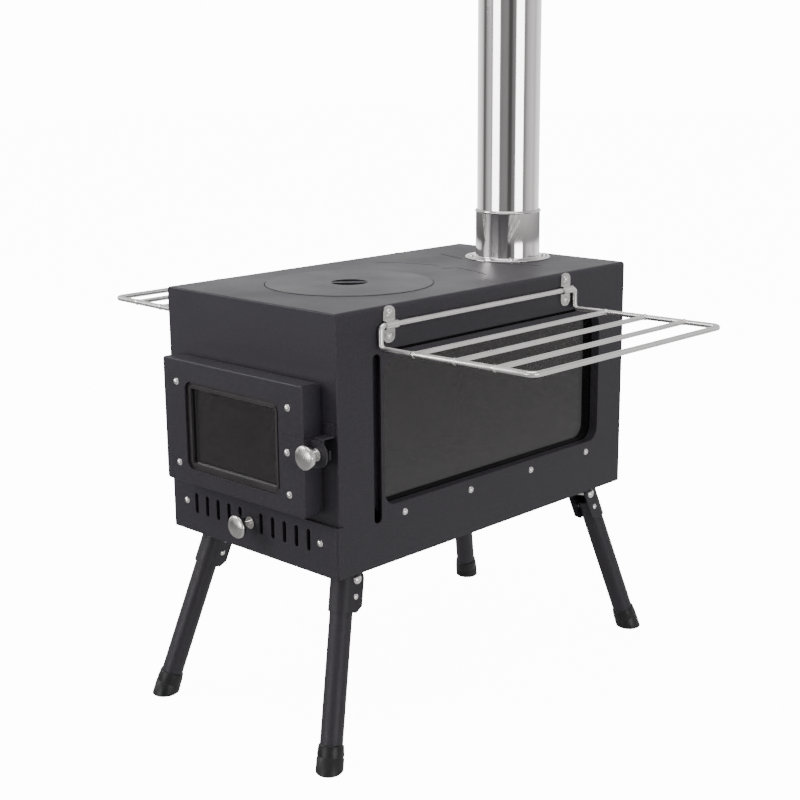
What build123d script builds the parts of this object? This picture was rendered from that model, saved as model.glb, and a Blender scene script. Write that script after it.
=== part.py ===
from build123d import *
import os
from math import asin, atan2, cos, degrees, hypot, radians, sin, sqrt

# A portable wood-burning stove with folding legs, for a tent or a tent sauna. Millimetres.
# The origin is on the ground under the middle of the box. The door faces -Y, the long side
# glass faces +X and +Z is up.

# Box of bent sheet steel
BODY_W = 220.0
BODY_L = 394.0
BODY_H = 225.0
GROUND_CLEAR = 165.0
SHEET = 1.5
BEND_R = 3.0
EDGE_R = 1.2
FLANGE = 11.0
RUNNING = 0.08
LOOSE = 0.3

HALF_W = BODY_W / 2
HALF_L = BODY_L / 2
BASE_Z = GROUND_CLEAR
TOP_Z = BASE_Z + BODY_H
INNER_W = HALF_W - SHEET
CEILING_Z = TOP_Z - SHEET
FLOOR_Z = BASE_Z + SHEET
FRONT_Y = -HALF_L

# Rivets with domed heads
RIVET_HEAD_D = 6.5
RIVET_HEAD_H = 1.9
RIVET_SHANK_D = 3.4
RIVET_TAIL = 1.5

# Hotplate lid, its seat and the lifting bar
LID_FROM_FRONT = 122.0
LID_Y = FRONT_Y + LID_FROM_FRONT
LID_R = 76.5
LID_GAP = 0.7
LID_T = 2.0
SEAT_WIDTH_IN = 9.0
SEAT_WIDTH_OUT = 7.0
LIFT_HOLE_R = 17.0
LIFT_BAR_W = 5.0
LIFT_BAR_ANGLE = 44.0
LIFT_CUP_DEPTH = 9.0
LIFT_CUP_T = 1.2

# Flue collar and pipe
FLUE_FROM_BACK = 48.0
FLUE_Y = HALF_L - FLUE_FROM_BACK
COLLAR_D = 64.8
COLLAR_WALL = 1.0
COLLAR_H = 49.0
COLLAR_RIM = 0.9
COLLAR_RIM_H = 3.0
FLANGE_R = 43.0
FLANGE_T = 1.2
PIPE_WALL = 0.8
PIPE_LENGTH = 340.0
FLUE_BORE_R = 29.0
SCREW_CIRCLE_R = 37.5
SCREW_COUNT = 4
SCREW_HEAD_D = 7.0
SCREW_HEAD_H = 2.2

# Expansion slits in the top sheet
SLIT_W = 1.5
SLIT_ARC_R = 133.0
SLIT_ARC_START = 5.5
SLIT_ARC_SWEEP = 22.5
SLIT_HOOK = 14.0
SLIT_HOOK_ANGLE = 235.0
REAR_SLIT_IN = 24.0
REAR_SLIT_OUT = 66.0
REAR_SLIT_AHEAD = 42.0
REAR_SLIT_Y = FLUE_Y - REAR_SLIT_AHEAD
REAR_SLIT_RISE = 14.0

# Loading mouth, the collar that the door closes on, and the door
DOOR_HALF_W = 92.0
DOOR_UP = 54.5
DOOR_LOW_Z = BASE_Z + DOOR_UP
DOOR_H = 112.5
DOOR_DEPTH = 17.0
DOOR_CORNER_R = 2.5
DOOR_STAND_OFF = 5.0
COLLAR_INSET = 2.0
COLLAR_WIDTH = 11.0
DOOR_SIDE_BAND = 30.0
DOOR_WINDOW_HALF_W = DOOR_HALF_W - DOOR_SIDE_BAND
DOOR_WINDOW_LOW = 14.0
DOOR_WINDOW_H = 80.2
DOOR_WINDOW_R = 8.0
GLASS_T = 4.0
DOOR_TAPE_T = 1.0
LENS_RING_T = 1.5
LENS_RING_GAP = 3.5
LENS_RING_LIP = 2.5
LENS_RING_LIP_H = 0.8
GLASS_MARGIN = 6.0
ROPE_W = 7.0
DOOR_RIVET_IN = 18.4
DOOR_RIVET_X = DOOR_HALF_W - DOOR_RIVET_IN
DOOR_RIVET_LOW = 17.5
DOOR_RIVET_PITCH = 74.3
DOOR_RIVET_MIDDLE = 54.2

# Door hinge
HINGE_GAP = 5.0
HINGE_OUT = 7.0
HINGE_BARREL_R = 4.0
HINGE_PIN_R = 2.0
HINGE_KNUCKLE_H = 7.0
HINGE_LEAF_W = 12.0
HINGE_INSET = 13.0

# Door latch
LATCH_REACH = 10.0
LATCH_UP = 56.5
LATCH_Z = DOOR_LOW_Z + LATCH_UP
STRAP_T = 1.5
STRAP_HALF_H = 11.5
STRAP_FRONT = 29.5
STRAP_TAB_T = 2.0
STRAP_TAB_BACK = 5.5
STRAP_TAB_R = 11.5
LATCH_STEM_R = 3.0
CAM_T = 2.0
CAM_HUB_R = 5.0
CAM_REACH = 11.0
CAM_HALF_W = 4.0
CAM_BEHIND_TAB = 2.5
KEEPER_HALF_W = 5.0
KEEPER_T = 1.5
KEEPER_SHELF = 14.0
KEEPER_LIP = 5.5
KEEPER_TAB = 11.0

# Mushroom knobs
KNOB_D = 21.0
KNOB_HEAD_H = 8.0
KNOB_NECK_R = 4.2
KNOB_WASHER_R = 5.5
KNOB_WASHER_T = 1.0
LATCH_KNOB_OUT = 8.5
VENT_KNOB_OUT = 11.0

# Vent panel with its slider
VENT_H = 45.5
VENT_LIFT = 0.5
VENT_PROUD = 3.5
VENT_WRAP = 4.0
VENT_END_R = 4.0
VENT_SLOT_W = 4.5
VENT_SLOT_H = 19.3
VENT_SLOT_Z = 28.7
VENT_SLOT_PITCH = 15.3
VENT_SLOT_FIRST = 14.1
VENT_SLOTS_PER_SIDE = 5
VENT_RIVET_X = 89.5
VENT_KNOB_Z = 27.0
SLIDER_T = 1.0
SLIDER_GAP = 0.5
SLIDER_BELOW = 10.0
SLIDER_MARGIN = 2.0
VENT_STEM_R = 2.0

# Side window in the right wall
WINDOW_FRONT = 54.0
WINDOW_BACK = 39.0
WINDOW_LENGTH = BODY_L - WINDOW_FRONT - WINDOW_BACK
WINDOW_LOW = 51.5
WINDOW_TOP_BAND = 46.0
WINDOW_H = BODY_H - WINDOW_LOW - WINDOW_TOP_BAND
WINDOW_R = 13.0
WINDOW_DEPTH = 7.5
WINDOW_FLANGE = 10.0
WINDOW_TAPE_T = 0.8
RAIL_LIP = 7.0
AIR_SLOT_W = 9.0
AIR_SLOT_STRIP = 4.0
AIR_SLOT_DROP = 12.5
AIR_SLOT_TOP_W = 2.6
AIR_SLOT_TOP_GAP = 6.5
AIR_SLOT_TOP_END = 28.0
AIR_LIP = 4.0
WINDOW_RIVET_LOW = 10.0
WINDOW_RIVET_FIRST = 24.6
WINDOW_RIVET_LAST = 17.2
WINDOW_RIVET_COUNT = 4
WINDOW_RIVET_RUN = WINDOW_LENGTH - WINDOW_RIVET_FIRST - WINDOW_RIVET_LAST
WINDOW_RIVET_PITCH = WINDOW_RIVET_RUN / (WINDOW_RIVET_COUNT - 1)

# Folding wire racks
WIRE_R = 2.5
RACK_HINGE_DOWN = 16.0
RACK_HINGE_Z = TOP_Z - RACK_HINGE_DOWN
RACK_DROP = 19.0
RACK_REACH = 158.5
RACK_FLARE_FRONT = 7.0
RACK_FLARE_REAR = 8.0
RACK_BEND_R = 4.5
RACK_CORNER_R = 8.0
RACK_BARS = (38.0, 80.6, 121.0)
CLIP_FROM_FRONT = 59.8
CLIP_FROM_BACK = 95.7
CLIP_FRONT_Y = FRONT_Y + CLIP_FROM_FRONT
CLIP_REAR_Y = HALF_L - CLIP_FROM_BACK
CLIP_W = 14.0
CLIP_T = 1.2
CLIP_HALF_H = 15.5
CLIP_RIVET_OFF = 9.8

# Folding legs
FOOT_OUT_X = 4.0
FOOT_OUT_Y = 21.0
FOOT_X = HALF_W + FOOT_OUT_X
FOOT_Y = HALF_L + FOOT_OUT_Y
LEG_SPLAY_X = 28.0
LEG_SPLAY_Y = 48.0
LEG_SPLAY_DROP = 159.0
PIVOT_DOWN = 12.0
PIVOT_Z = BASE_Z - PIVOT_DOWN
PIVOT_INBOARD = 5.5
LEG_TUBE_R = 10.0
LEG_TUBE_WALL = 1.5
LEG_TUBE_TOP = 9.5
KNUCKLE_T = 1.5
KNUCKLE_BELOW = 29.0
KNUCKLE_BACK_UP = 3.0
KNUCKLE_EAR_R = 8.0
KNUCKLE_EAR_CHAMFER = 6.0
CROSS_PIN_DOWN = 15.0
CROSS_PIN_R = 2.0
PIVOT_R = 2.5
PIVOT_HEAD_R = 4.6
PIVOT_HEAD_H = 2.4
BRACKET_T = 2.0
BRACKET_EAR_R = 6.0
BRACKET_PLATE = 17.0
FOOT_R = 12.0
FOOT_NECK_R = 11.0
FOOT_H = 23.0
FOOT_INSIDE = 3.0
LEG_RIVET_UP = 30.0
LEG_RIVET_R = 1.6

# Fire grate
GRATE_SIDE_GAP = 18.5
GRATE_END_GAP = 47.0
GRATE_HALF_W = INNER_W - GRATE_SIDE_GAP
GRATE_HALF_L = HALF_L - GRATE_END_GAP
GRATE_H = 20.0
GRATE_SLOT_W = 8.0
GRATE_SLOT_L = 66.0
GRATE_SLOT_PITCH = 30.0
GRATE_SLOTS = 9


# Shapes that the pieces share
def block(x0, x1, y0, y1, z0, z1):
    """A box between two corners."""
    middle = Pos((x0 + x1) / 2, (y0 + y1) / 2, (z0 + z1) / 2)
    return middle * Box(x1 - x0, y1 - y0, z1 - z0)


def slab_y(x0, x1, z0, z1, y0, y1, radius):
    """A plate that faces the door side, with rounded corners."""
    face = Plane(origin=((x0 + x1) / 2, y0, (z0 + z1) / 2), x_dir=(1, 0, 0), z_dir=(0, 1, 0))
    return extrude(face * RectangleRounded(x1 - x0, z1 - z0, radius), amount=y1 - y0)


def slab_x(y0, y1, z0, z1, x0, x1, radius):
    """A plate that faces the window side, with rounded corners."""
    face = Plane(origin=(x0, (y0 + y1) / 2, (z0 + z1) / 2), x_dir=(0, 1, 0), z_dir=(1, 0, 0))
    return extrude(face * RectangleRounded(y1 - y0, z1 - z0, radius), amount=x1 - x0)


def rod(radius, start, end):
    """A round bar from one point to another."""
    run = Vector(*end) - Vector(*start)
    return extrude(Plane(origin=start, z_dir=run) * Circle(radius), amount=run.length)


def domed_pin(seat, outward, head_d, head_h, shank_r, depth):
    """A rivet or screw: a domed head on its seat and a shank behind it."""
    half = head_d / 2
    ball_r = (half ** 2 + head_h ** 2) / (2 * head_h)
    dome = Pos(0, 0, head_h - ball_r) * Sphere(ball_r)
    dome = dome & Pos(0, 0, head_h / 2) * Box(head_d + 1, head_d + 1, head_h)
    shank = Pos(0, 0, -depth / 2) * Cylinder(shank_r, depth)
    return Plane(origin=seat, z_dir=outward).location * (dome + shank)


def rivet(seat, outward, grip):
    return domed_pin(seat, outward, RIVET_HEAD_D, RIVET_HEAD_H, RIVET_SHANK_D / 2, grip + RIVET_TAIL)


def rivet_hole(seat, outward, grip):
    start = Vector(*seat) + Vector(*outward)
    end = Vector(*seat) - Vector(*outward) * (grip + RIVET_TAIL + 1)
    return rod(RIVET_SHANK_D / 2, tuple(start), tuple(end))


def slit(start, end):
    """A narrow straight cut through the top sheet, with round ends."""
    run_x = end[0] - start[0]
    run_y = end[1] - start[1]
    place = Pos((start[0] + end[0]) / 2, (start[1] + end[1]) / 2, CEILING_Z - 1)
    place = place * Rot(0, 0, degrees(atan2(run_y, run_x)))
    return extrude(place * SlotCenterToCenter(hypot(run_x, run_y), SLIT_W), amount=SHEET + 2)


def bar_slot(x, z, width, height, y0, y1):
    """An upright slot with round ends, cut through from y0 to y1."""
    return slab_y(x - width / 2, x + width / 2, z - height / 2, z + height / 2, y0, y1, width / 2 - 0.01)


def mushroom_knob(out, stem_r, stem_back):
    """A turned knob on its own stem. Z points out of the stove and zero is the washer's back."""
    r = KNOB_D / 2
    rim = KNOB_HEAD_H * 0.45
    low = -stem_back
    under = out - KNOB_HEAD_H * 0.35
    crown = out + KNOB_HEAD_H
    outline = Polyline(
        (0, low),
        (stem_r, low),
        (stem_r, 0),
        (KNOB_WASHER_R, 0),
        (KNOB_WASHER_R, KNOB_WASHER_T),
        (stem_r, KNOB_WASHER_T),
        (stem_r, under),
        (KNOB_NECK_R, under),
        (r - 0.8, out + KNOB_HEAD_H * 0.2),
        (r, out + rim),
    )
    ball_r = (r ** 2 + (crown - out - rim) ** 2) / (2 * (crown - out - rim))
    half_turn = asin(r / ball_r) / 2
    shoulder = (ball_r * sin(half_turn), crown - ball_r + ball_r * cos(half_turn))
    outline += ThreePointArc((r, out + rim), shoulder, (0, crown))
    outline += Line((0, crown), (0, low))
    return revolve(Plane.XZ * make_face(outline), axis=Axis.Z)


parts = {}

# Side window sizes
WIN_Y0 = FRONT_Y + WINDOW_FRONT
WIN_Y1 = WIN_Y0 + WINDOW_LENGTH
WIN_Z0 = BASE_Z + WINDOW_LOW
WIN_Z1 = WIN_Z0 + WINDOW_H
SLOT_Y1 = WIN_Y0 - AIR_SLOT_STRIP
SLOT_Y0 = SLOT_Y1 - AIR_SLOT_W
SLOT_Z0 = WIN_Z0 - AIR_SLOT_DROP
TOP_SLOT_Z0 = WIN_Z1 + AIR_SLOT_TOP_GAP
TOP_SLOT_Z1 = TOP_SLOT_Z0 + AIR_SLOT_TOP_W
TOP_SLOT_Y0 = WIN_Y0 + AIR_SLOT_STRIP
TOP_SLOT_Y1 = WIN_Y1 - AIR_SLOT_TOP_END
WINDOW_RIVET_Z = WIN_Z0 - WINDOW_RIVET_LOW
window_rivet_seats = [
    (HALF_W, WIN_Y0 + WINDOW_RIVET_FIRST + WINDOW_RIVET_PITCH * i, WINDOW_RIVET_Z)
    for i in range(WINDOW_RIVET_COUNT)
]

# Rack clips: where their rivets go
clip_rivet_seats = {}
for side_name, side in (("right", 1), ("left", -1)):
    clip_rivet_seats[side_name] = [
        (side * (HALF_W + CLIP_T), y, RACK_HINGE_Z + up * CLIP_RIVET_OFF)
        for y in (CLIP_FRONT_Y, CLIP_REAR_Y)
        for up in (-1, 1)
    ]


# Outer wrap: one sheet bent over the top and both sides
def outer_wrap():
    shell = block(-HALF_W, HALF_W, -HALF_L, HALF_L, BASE_Z, TOP_Z)
    top_bends = shell.edges().filter_by(Axis.Y).group_by(Axis.Z)[-1]
    shell = fillet(top_bends, BEND_R)
    rim = shell.faces().sort_by(Axis.Y)[0].edges()
    rim = rim.filter_by(lambda edge: edge.center().Z > BASE_Z + 1)
    shell = fillet(rim, EDGE_R)
    shell -= block(-INNER_W, INNER_W, -HALF_L - 1, HALF_L + 1, BASE_Z - 1, CEILING_Z)
    # lips rolled inward along the two air slots
    shell += block(INNER_W - AIR_LIP, INNER_W, SLOT_Y0 - SHEET, SLOT_Y0, SLOT_Z0, TOP_SLOT_Z0)
    shell += block(INNER_W - AIR_LIP, INNER_W, TOP_SLOT_Y0, TOP_SLOT_Y1, TOP_SLOT_Z1, TOP_SLOT_Z1 + SHEET)
    # window and its air slots
    x0, x1 = INNER_W - 1, HALF_W + 1
    shell -= slab_x(WIN_Y0, WIN_Y1, WIN_Z0, WIN_Z1, x0, x1, WINDOW_R)
    shell -= slab_x(SLOT_Y0, SLOT_Y1, SLOT_Z0, TOP_SLOT_Z0, x0, x1, AIR_SLOT_W / 2 - 0.5)
    shell -= slab_x(TOP_SLOT_Y0, TOP_SLOT_Y1, TOP_SLOT_Z0, TOP_SLOT_Z1, x0, x1, AIR_SLOT_TOP_W / 2 - 0.1)
    # hotplate and flue holes
    shell -= Pos(0, LID_Y, CEILING_Z) * Cylinder(LID_R + LID_GAP, 4 * SHEET)
    shell -= Pos(0, FLUE_Y, CEILING_Z) * Cylinder(FLUE_BORE_R, 4 * SHEET)
    # slits that let the hot top sheet move
    for start_angle in (90 + SLIT_ARC_START, 90 - SLIT_ARC_START - SLIT_ARC_SWEEP):
        arc = CenterArc((0, LID_Y), SLIT_ARC_R, start_angle, SLIT_ARC_SWEEP)
        shell -= extrude(Pos(0, 0, CEILING_Z - 1) * SlotArc(arc, SLIT_W), amount=SHEET + 2)
        hook = arc @ 1
        hook_x = hook.X + SLIT_HOOK * cos(radians(SLIT_HOOK_ANGLE))
        hook_y = hook.Y + SLIT_HOOK * sin(radians(SLIT_HOOK_ANGLE))
        shell -= slit((hook.X, hook.Y), (hook_x, hook_y))
    for side in (-1, 1):
        low = (side * REAR_SLIT_IN, REAR_SLIT_Y)
        shell -= slit(low, (side * REAR_SLIT_OUT, REAR_SLIT_Y + REAR_SLIT_RISE))
    for seat in window_rivet_seats:
        shell -= rivet_hole(seat, (1, 0, 0), SHEET)
    for side_name, side in (("right", 1), ("left", -1)):
        for seat in clip_rivet_seats[side_name]:
            shell -= rivet_hole(seat, (side, 0, 0), SHEET + CLIP_T)
    for seat in flue_screw_seats:
        shell -= rod(RIVET_SHANK_D / 2, seat, (seat[0], seat[1], CEILING_Z - 1))
    return shell


flue_screw_seats = []
for i in range(SCREW_COUNT):
    turn = radians(90 * i + 45)
    seat_x = SCREW_CIRCLE_R * cos(turn)
    seat_y = FLUE_Y + SCREW_CIRCLE_R * sin(turn)
    flue_screw_seats.append((seat_x, seat_y, TOP_Z + FLANGE_T))

parts["outer_wrap"] = outer_wrap()


# Front, back and base close the wrap
def end_panel(outer_y):
    """A pan between the wrap's walls, with its flanges turned in. outer_y is its outer face."""
    inward = 1 if outer_y < 0 else -1
    y_flange = outer_y + inward * FLANGE
    y_plate = outer_y + inward * SHEET
    low_y, high_y = sorted((outer_y, y_flange))
    panel = block(-INNER_W, INNER_W, low_y, high_y, BASE_Z, CEILING_Z)
    low_y, high_y = sorted((y_plate, y_flange + inward))
    core = block(-INNER_W + SHEET, INNER_W - SHEET, low_y, high_y, BASE_Z - 1, CEILING_Z - SHEET)
    foot_gap = block(-INNER_W - 1, INNER_W + 1, low_y, high_y, BASE_Z - 1, FLOOR_Z)
    return panel - core - foot_gap


# The mouth and the collar share these
DOOR_BACK_Y = FRONT_Y - DOOR_STAND_OFF
DOOR_FACE_Y = DOOR_BACK_Y - DOOR_DEPTH
DOOR_TOP_Z = DOOR_LOW_Z + DOOR_H
COLLAR_HALF_W = DOOR_HALF_W - COLLAR_INSET
COLLAR_Z0 = DOOR_LOW_Z + COLLAR_INSET
COLLAR_Z1 = DOOR_TOP_Z - COLLAR_INSET
MOUTH_HALF_W = COLLAR_HALF_W - COLLAR_WIDTH
MOUTH_Z0 = COLLAR_Z0 + COLLAR_WIDTH
MOUTH_Z1 = COLLAR_Z1 - COLLAR_WIDTH

# The vent panel and its slider share these
VENT_Z0 = BASE_Z + VENT_LIFT
VENT_Z1 = VENT_Z0 + VENT_H
VENT_FACE_Y = FRONT_Y - VENT_PROUD
VENT_MID_Z = BASE_Z + VENT_SLOT_Z
SLOT_X = [VENT_SLOT_FIRST + VENT_SLOT_PITCH * i for i in range(VENT_SLOTS_PER_SIDE)]
LAST_SLOT_X = SLOT_X[-1] + VENT_SLOT_W / 2
SLIDE_TRAVEL = VENT_SLOT_PITCH / 2
INTAKE_HALF_W = LAST_SLOT_X + SLIDER_MARGIN
vent_rivet_seats = [(side * VENT_RIVET_X, VENT_FACE_Y, VENT_MID_Z) for side in (-1, 1)]

front_panel = end_panel(FRONT_Y)
front_panel -= slab_y(
    -MOUTH_HALF_W, MOUTH_HALF_W, MOUTH_Z0, MOUTH_Z1, FRONT_Y - 1, FRONT_Y + SHEET + 1, DOOR_WINDOW_R
)
front_panel -= block(
    -INTAKE_HALF_W,
    INTAKE_HALF_W,
    FRONT_Y - 1,
    FRONT_Y + SHEET + 1,
    VENT_MID_Z - VENT_SLOT_H / 2,
    VENT_MID_Z + VENT_SLOT_H / 2,
)
for seat in vent_rivet_seats:
    front_panel -= rivet_hole(seat, (0, -1, 0), VENT_PROUD + SHEET)
parts["front_panel"] = front_panel
parts["back_panel"] = end_panel(HALF_L)

base_reach = HALF_L - SHEET
base_flange_y = HALF_L - FLANGE
base_pan = block(-INNER_W, INNER_W, -base_reach, base_reach, BASE_Z, FLOOR_Z)
for side in (-1, 1):
    low_x, high_x = sorted((side * INNER_W, side * (INNER_W - SHEET)))
    base_pan += block(low_x, high_x, -base_flange_y, base_flange_y, FLOOR_Z, BASE_Z + FLANGE)
parts["base_pan"] = base_pan

# Fire grate: a slotted plate folded down on both long sides, which stands on the base pan
grate_top = FLOOR_Z + GRATE_H
grate = block(-GRATE_HALF_W, GRATE_HALF_W, -GRATE_HALF_L, GRATE_HALF_L, FLOOR_Z, grate_top)
grate -= block(
    -GRATE_HALF_W + SHEET,
    GRATE_HALF_W - SHEET,
    -GRATE_HALF_L - 1,
    GRATE_HALF_L + 1,
    FLOOR_Z - 1,
    grate_top - SHEET,
)
for i in range(GRATE_SLOTS):
    y = (i - (GRATE_SLOTS - 1) / 2) * GRATE_SLOT_PITCH
    for x in (-GRATE_HALF_W / 2, GRATE_HALF_W / 2):
        place = Pos(x, y, grate_top - SHEET - 1)
        grate -= extrude(place * SlotOverall(GRATE_SLOT_L, GRATE_SLOT_W), amount=SHEET + 2)
parts["fire_grate"] = grate

# Hotplate: seat ring under the top sheet, lid, and the cup under the lifting bar
seat_place = Pos(0, LID_Y, CEILING_Z - SHEET / 2)
parts["hotplate_seat_ring"] = seat_place * (
    Cylinder(LID_R + LID_GAP + SEAT_WIDTH_OUT, SHEET) - Cylinder(LID_R - SEAT_WIDTH_IN, SHEET + 2)
)
lid = Pos(0, 0, LID_T / 2) * Cylinder(LID_R, LID_T)
lid = fillet(lid.edges().sort_by(Axis.Z)[-1], 0.5)
lid -= Cylinder(LIFT_HOLE_R, 3 * LID_T)
lift_bar = Pos(0, 0, LID_T / 2) * Rot(0, 0, LIFT_BAR_ANGLE) * Box(2 * LIFT_HOLE_R + 2, LIFT_BAR_W, LID_T)
parts["hotplate_lid"] = Pos(0, LID_Y, CEILING_Z) * (lid + lift_bar)
cup = Pos(0, 0, -LIFT_CUP_DEPTH / 2) * Cylinder(LIFT_HOLE_R + LIFT_CUP_T, LIFT_CUP_DEPTH)
cup -= Pos(0, 0, LIFT_CUP_T - LIFT_CUP_DEPTH / 2) * Cylinder(LIFT_HOLE_R, LIFT_CUP_DEPTH)
parts["lid_lift_cup"] = Pos(0, LID_Y, CEILING_Z) * cup

# Flue: stainless collar with its flange, four screws and one length of pipe
COLLAR_BORE_R = COLLAR_D / 2 - COLLAR_WALL
PIPE_R = COLLAR_BORE_R - LOOSE
flange = Pos(0, 0, FLANGE_T / 2) * Cylinder(FLANGE_R, FLANGE_T)
flange = fillet(flange.edges().sort_by(Axis.Z)[-1], FLANGE_T / 2)
collar = flange + Pos(0, 0, COLLAR_H / 2) * Cylinder(COLLAR_D / 2, COLLAR_H)
rim_z = COLLAR_H - COLLAR_RIM_H / 2
collar += Pos(0, 0, rim_z) * Cylinder(COLLAR_D / 2 + COLLAR_RIM, COLLAR_RIM_H)
collar -= Pos(0, 0, FLANGE_T + COLLAR_H / 2) * Cylinder(COLLAR_BORE_R, COLLAR_H)
collar -= Cylinder(FLUE_BORE_R, 4 * FLANGE_T)
collar = Pos(0, FLUE_Y, TOP_Z) * collar
for seat in flue_screw_seats:
    collar -= rod(RIVET_SHANK_D / 2, seat, (seat[0], seat[1], CEILING_Z - 1))
parts["flue_collar"] = collar
parts["flue_screws"] = [
    domed_pin(seat, (0, 0, 1), SCREW_HEAD_D, SCREW_HEAD_H, RIVET_SHANK_D / 2, FLANGE_T + SHEET)
    for seat in flue_screw_seats
]
pipe = Cylinder(PIPE_R, PIPE_LENGTH) - Cylinder(PIPE_R - PIPE_WALL, PIPE_LENGTH + 2)
parts["flue_pipe"] = Pos(0, FLUE_Y, TOP_Z + FLANGE_T + PIPE_LENGTH / 2) * pipe

# Door collar on the front panel
parts["door_collar"] = slab_y(
    -COLLAR_HALF_W, COLLAR_HALF_W, COLLAR_Z0, COLLAR_Z1, DOOR_BACK_Y, FRONT_Y, DOOR_CORNER_R
) - slab_y(
    -MOUTH_HALF_W, MOUTH_HALF_W, MOUTH_Z0, MOUTH_Z1, DOOR_BACK_Y - 1, FRONT_Y + 1, DOOR_WINDOW_R
)

# Door shell: a pressed pan with a window
PLATE_BACK_Y = DOOR_FACE_Y + SHEET
WINDOW_Z0 = DOOR_LOW_Z + DOOR_WINDOW_LOW
WINDOW_Z1 = WINDOW_Z0 + DOOR_WINDOW_H
door_shell = block(-DOOR_HALF_W, DOOR_HALF_W, DOOR_FACE_Y, DOOR_BACK_Y, DOOR_LOW_Z, DOOR_TOP_Z)
door_shell = fillet(door_shell.edges().filter_by(Axis.Y), DOOR_CORNER_R)
door_shell = fillet(door_shell.faces().sort_by(Axis.Y)[0].edges(), EDGE_R)
door_shell -= block(
    -DOOR_HALF_W + SHEET,
    DOOR_HALF_W - SHEET,
    PLATE_BACK_Y,
    DOOR_BACK_Y + 1,
    DOOR_LOW_Z + SHEET,
    DOOR_TOP_Z - SHEET,
)


def door_ring(grow_out, grow_in, y0, y1):
    """A ring round the door's window. Each edge lies that far outside the window's own edge."""
    outer = slab_y(
        -DOOR_WINDOW_HALF_W - grow_out,
        DOOR_WINDOW_HALF_W + grow_out,
        WINDOW_Z0 - grow_out,
        WINDOW_Z1 + grow_out,
        y0,
        y1,
        max(DOOR_WINDOW_R + grow_out, 1),
    )
    inner = slab_y(
        -DOOR_WINDOW_HALF_W - grow_in,
        DOOR_WINDOW_HALF_W + grow_in,
        WINDOW_Z0 - grow_in,
        WINDOW_Z1 + grow_in,
        y0 - 1,
        y1 + 1,
        max(DOOR_WINDOW_R + grow_in, 1),
    )
    return outer - inner


door_shell -= slab_y(
    -DOOR_WINDOW_HALF_W,
    DOOR_WINDOW_HALF_W,
    WINDOW_Z0,
    WINDOW_Z1,
    DOOR_FACE_Y - 1,
    PLATE_BACK_Y + 1,
    DOOR_WINDOW_R,
)

# Behind the door's face: tape, lens ring with a rolled lip, glass, retainer plate and rope
TAPE_Y = PLATE_BACK_Y + DOOR_TAPE_T
RING_Y = TAPE_Y + LENS_RING_T
GLASS_Y = RING_Y + GLASS_T
RETAINER_Y = GLASS_Y + SHEET
ring_in = -LENS_RING_GAP - LENS_RING_LIP
parts["door_glass_tape"] = door_ring(GLASS_MARGIN, 1.0, PLATE_BACK_Y, TAPE_Y)
lens_ring = door_ring(GLASS_MARGIN, ring_in, TAPE_Y, RING_Y)
lens_ring += door_ring(-LENS_RING_GAP, ring_in, TAPE_Y - LENS_RING_LIP_H, TAPE_Y)
parts["door_lens_ring"] = lens_ring
parts["door_glass"] = slab_y(
    -DOOR_WINDOW_HALF_W - GLASS_MARGIN,
    DOOR_WINDOW_HALF_W + GLASS_MARGIN,
    WINDOW_Z0 - GLASS_MARGIN,
    WINDOW_Z1 + GLASS_MARGIN,
    RING_Y,
    GLASS_Y,
    2.0,
)
door_rivet_points = [
    (side * DOOR_RIVET_X, DOOR_LOW_Z + DOOR_RIVET_LOW + up * DOOR_RIVET_PITCH)
    for side in (-1, 1)
    for up in (0, 1)
]
door_rivet_seats = [(x, DOOR_FACE_Y, z) for x, z in door_rivet_points]
door_rivet_seats.append((DOOR_RIVET_X, DOOR_FACE_Y - STRAP_T, DOOR_LOW_Z + DOOR_RIVET_MIDDLE))
retainer_half = DOOR_HALF_W - 2 * SHEET
retainer = slab_y(
    -retainer_half,
    retainer_half,
    DOOR_LOW_Z + 2 * SHEET,
    DOOR_TOP_Z - 2 * SHEET,
    GLASS_Y,
    RETAINER_Y,
    DOOR_CORNER_R,
)
retainer -= slab_y(
    -DOOR_WINDOW_HALF_W + GLASS_MARGIN,
    DOOR_WINDOW_HALF_W - GLASS_MARGIN,
    WINDOW_Z0 + GLASS_MARGIN,
    WINDOW_Z1 - GLASS_MARGIN,
    GLASS_Y - 1,
    RETAINER_Y + 1,
    DOOR_WINDOW_R,
)
rope_half = COLLAR_HALF_W - (COLLAR_WIDTH - ROPE_W) / 2
rope_z0 = COLLAR_Z0 + COLLAR_HALF_W - rope_half
rope_z1 = COLLAR_Z1 - COLLAR_HALF_W + rope_half
rope = slab_y(-rope_half, rope_half, rope_z0, rope_z1, RETAINER_Y, DOOR_BACK_Y - LOOSE, ROPE_W)
rope -= slab_y(
    -rope_half + ROPE_W,
    rope_half - ROPE_W,
    rope_z0 + ROPE_W,
    rope_z1 - ROPE_W,
    RETAINER_Y - 1,
    DOOR_BACK_Y + 1,
    2.0,
)
parts["door_rope_seal"] = rope
rivet_grip = RETAINER_Y - DOOR_FACE_Y
for seat in door_rivet_seats:
    hole = rivet_hole(seat, (0, -1, 0), rivet_grip + STRAP_T)
    door_shell -= hole
    retainer -= hole
parts["door_shell"] = door_shell
parts["door_glass_retainer"] = retainer
parts["door_rivets"] = [
    rivet(seat, (0, -1, 0), RETAINER_Y - seat[1]) for seat in door_rivet_seats
]

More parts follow.
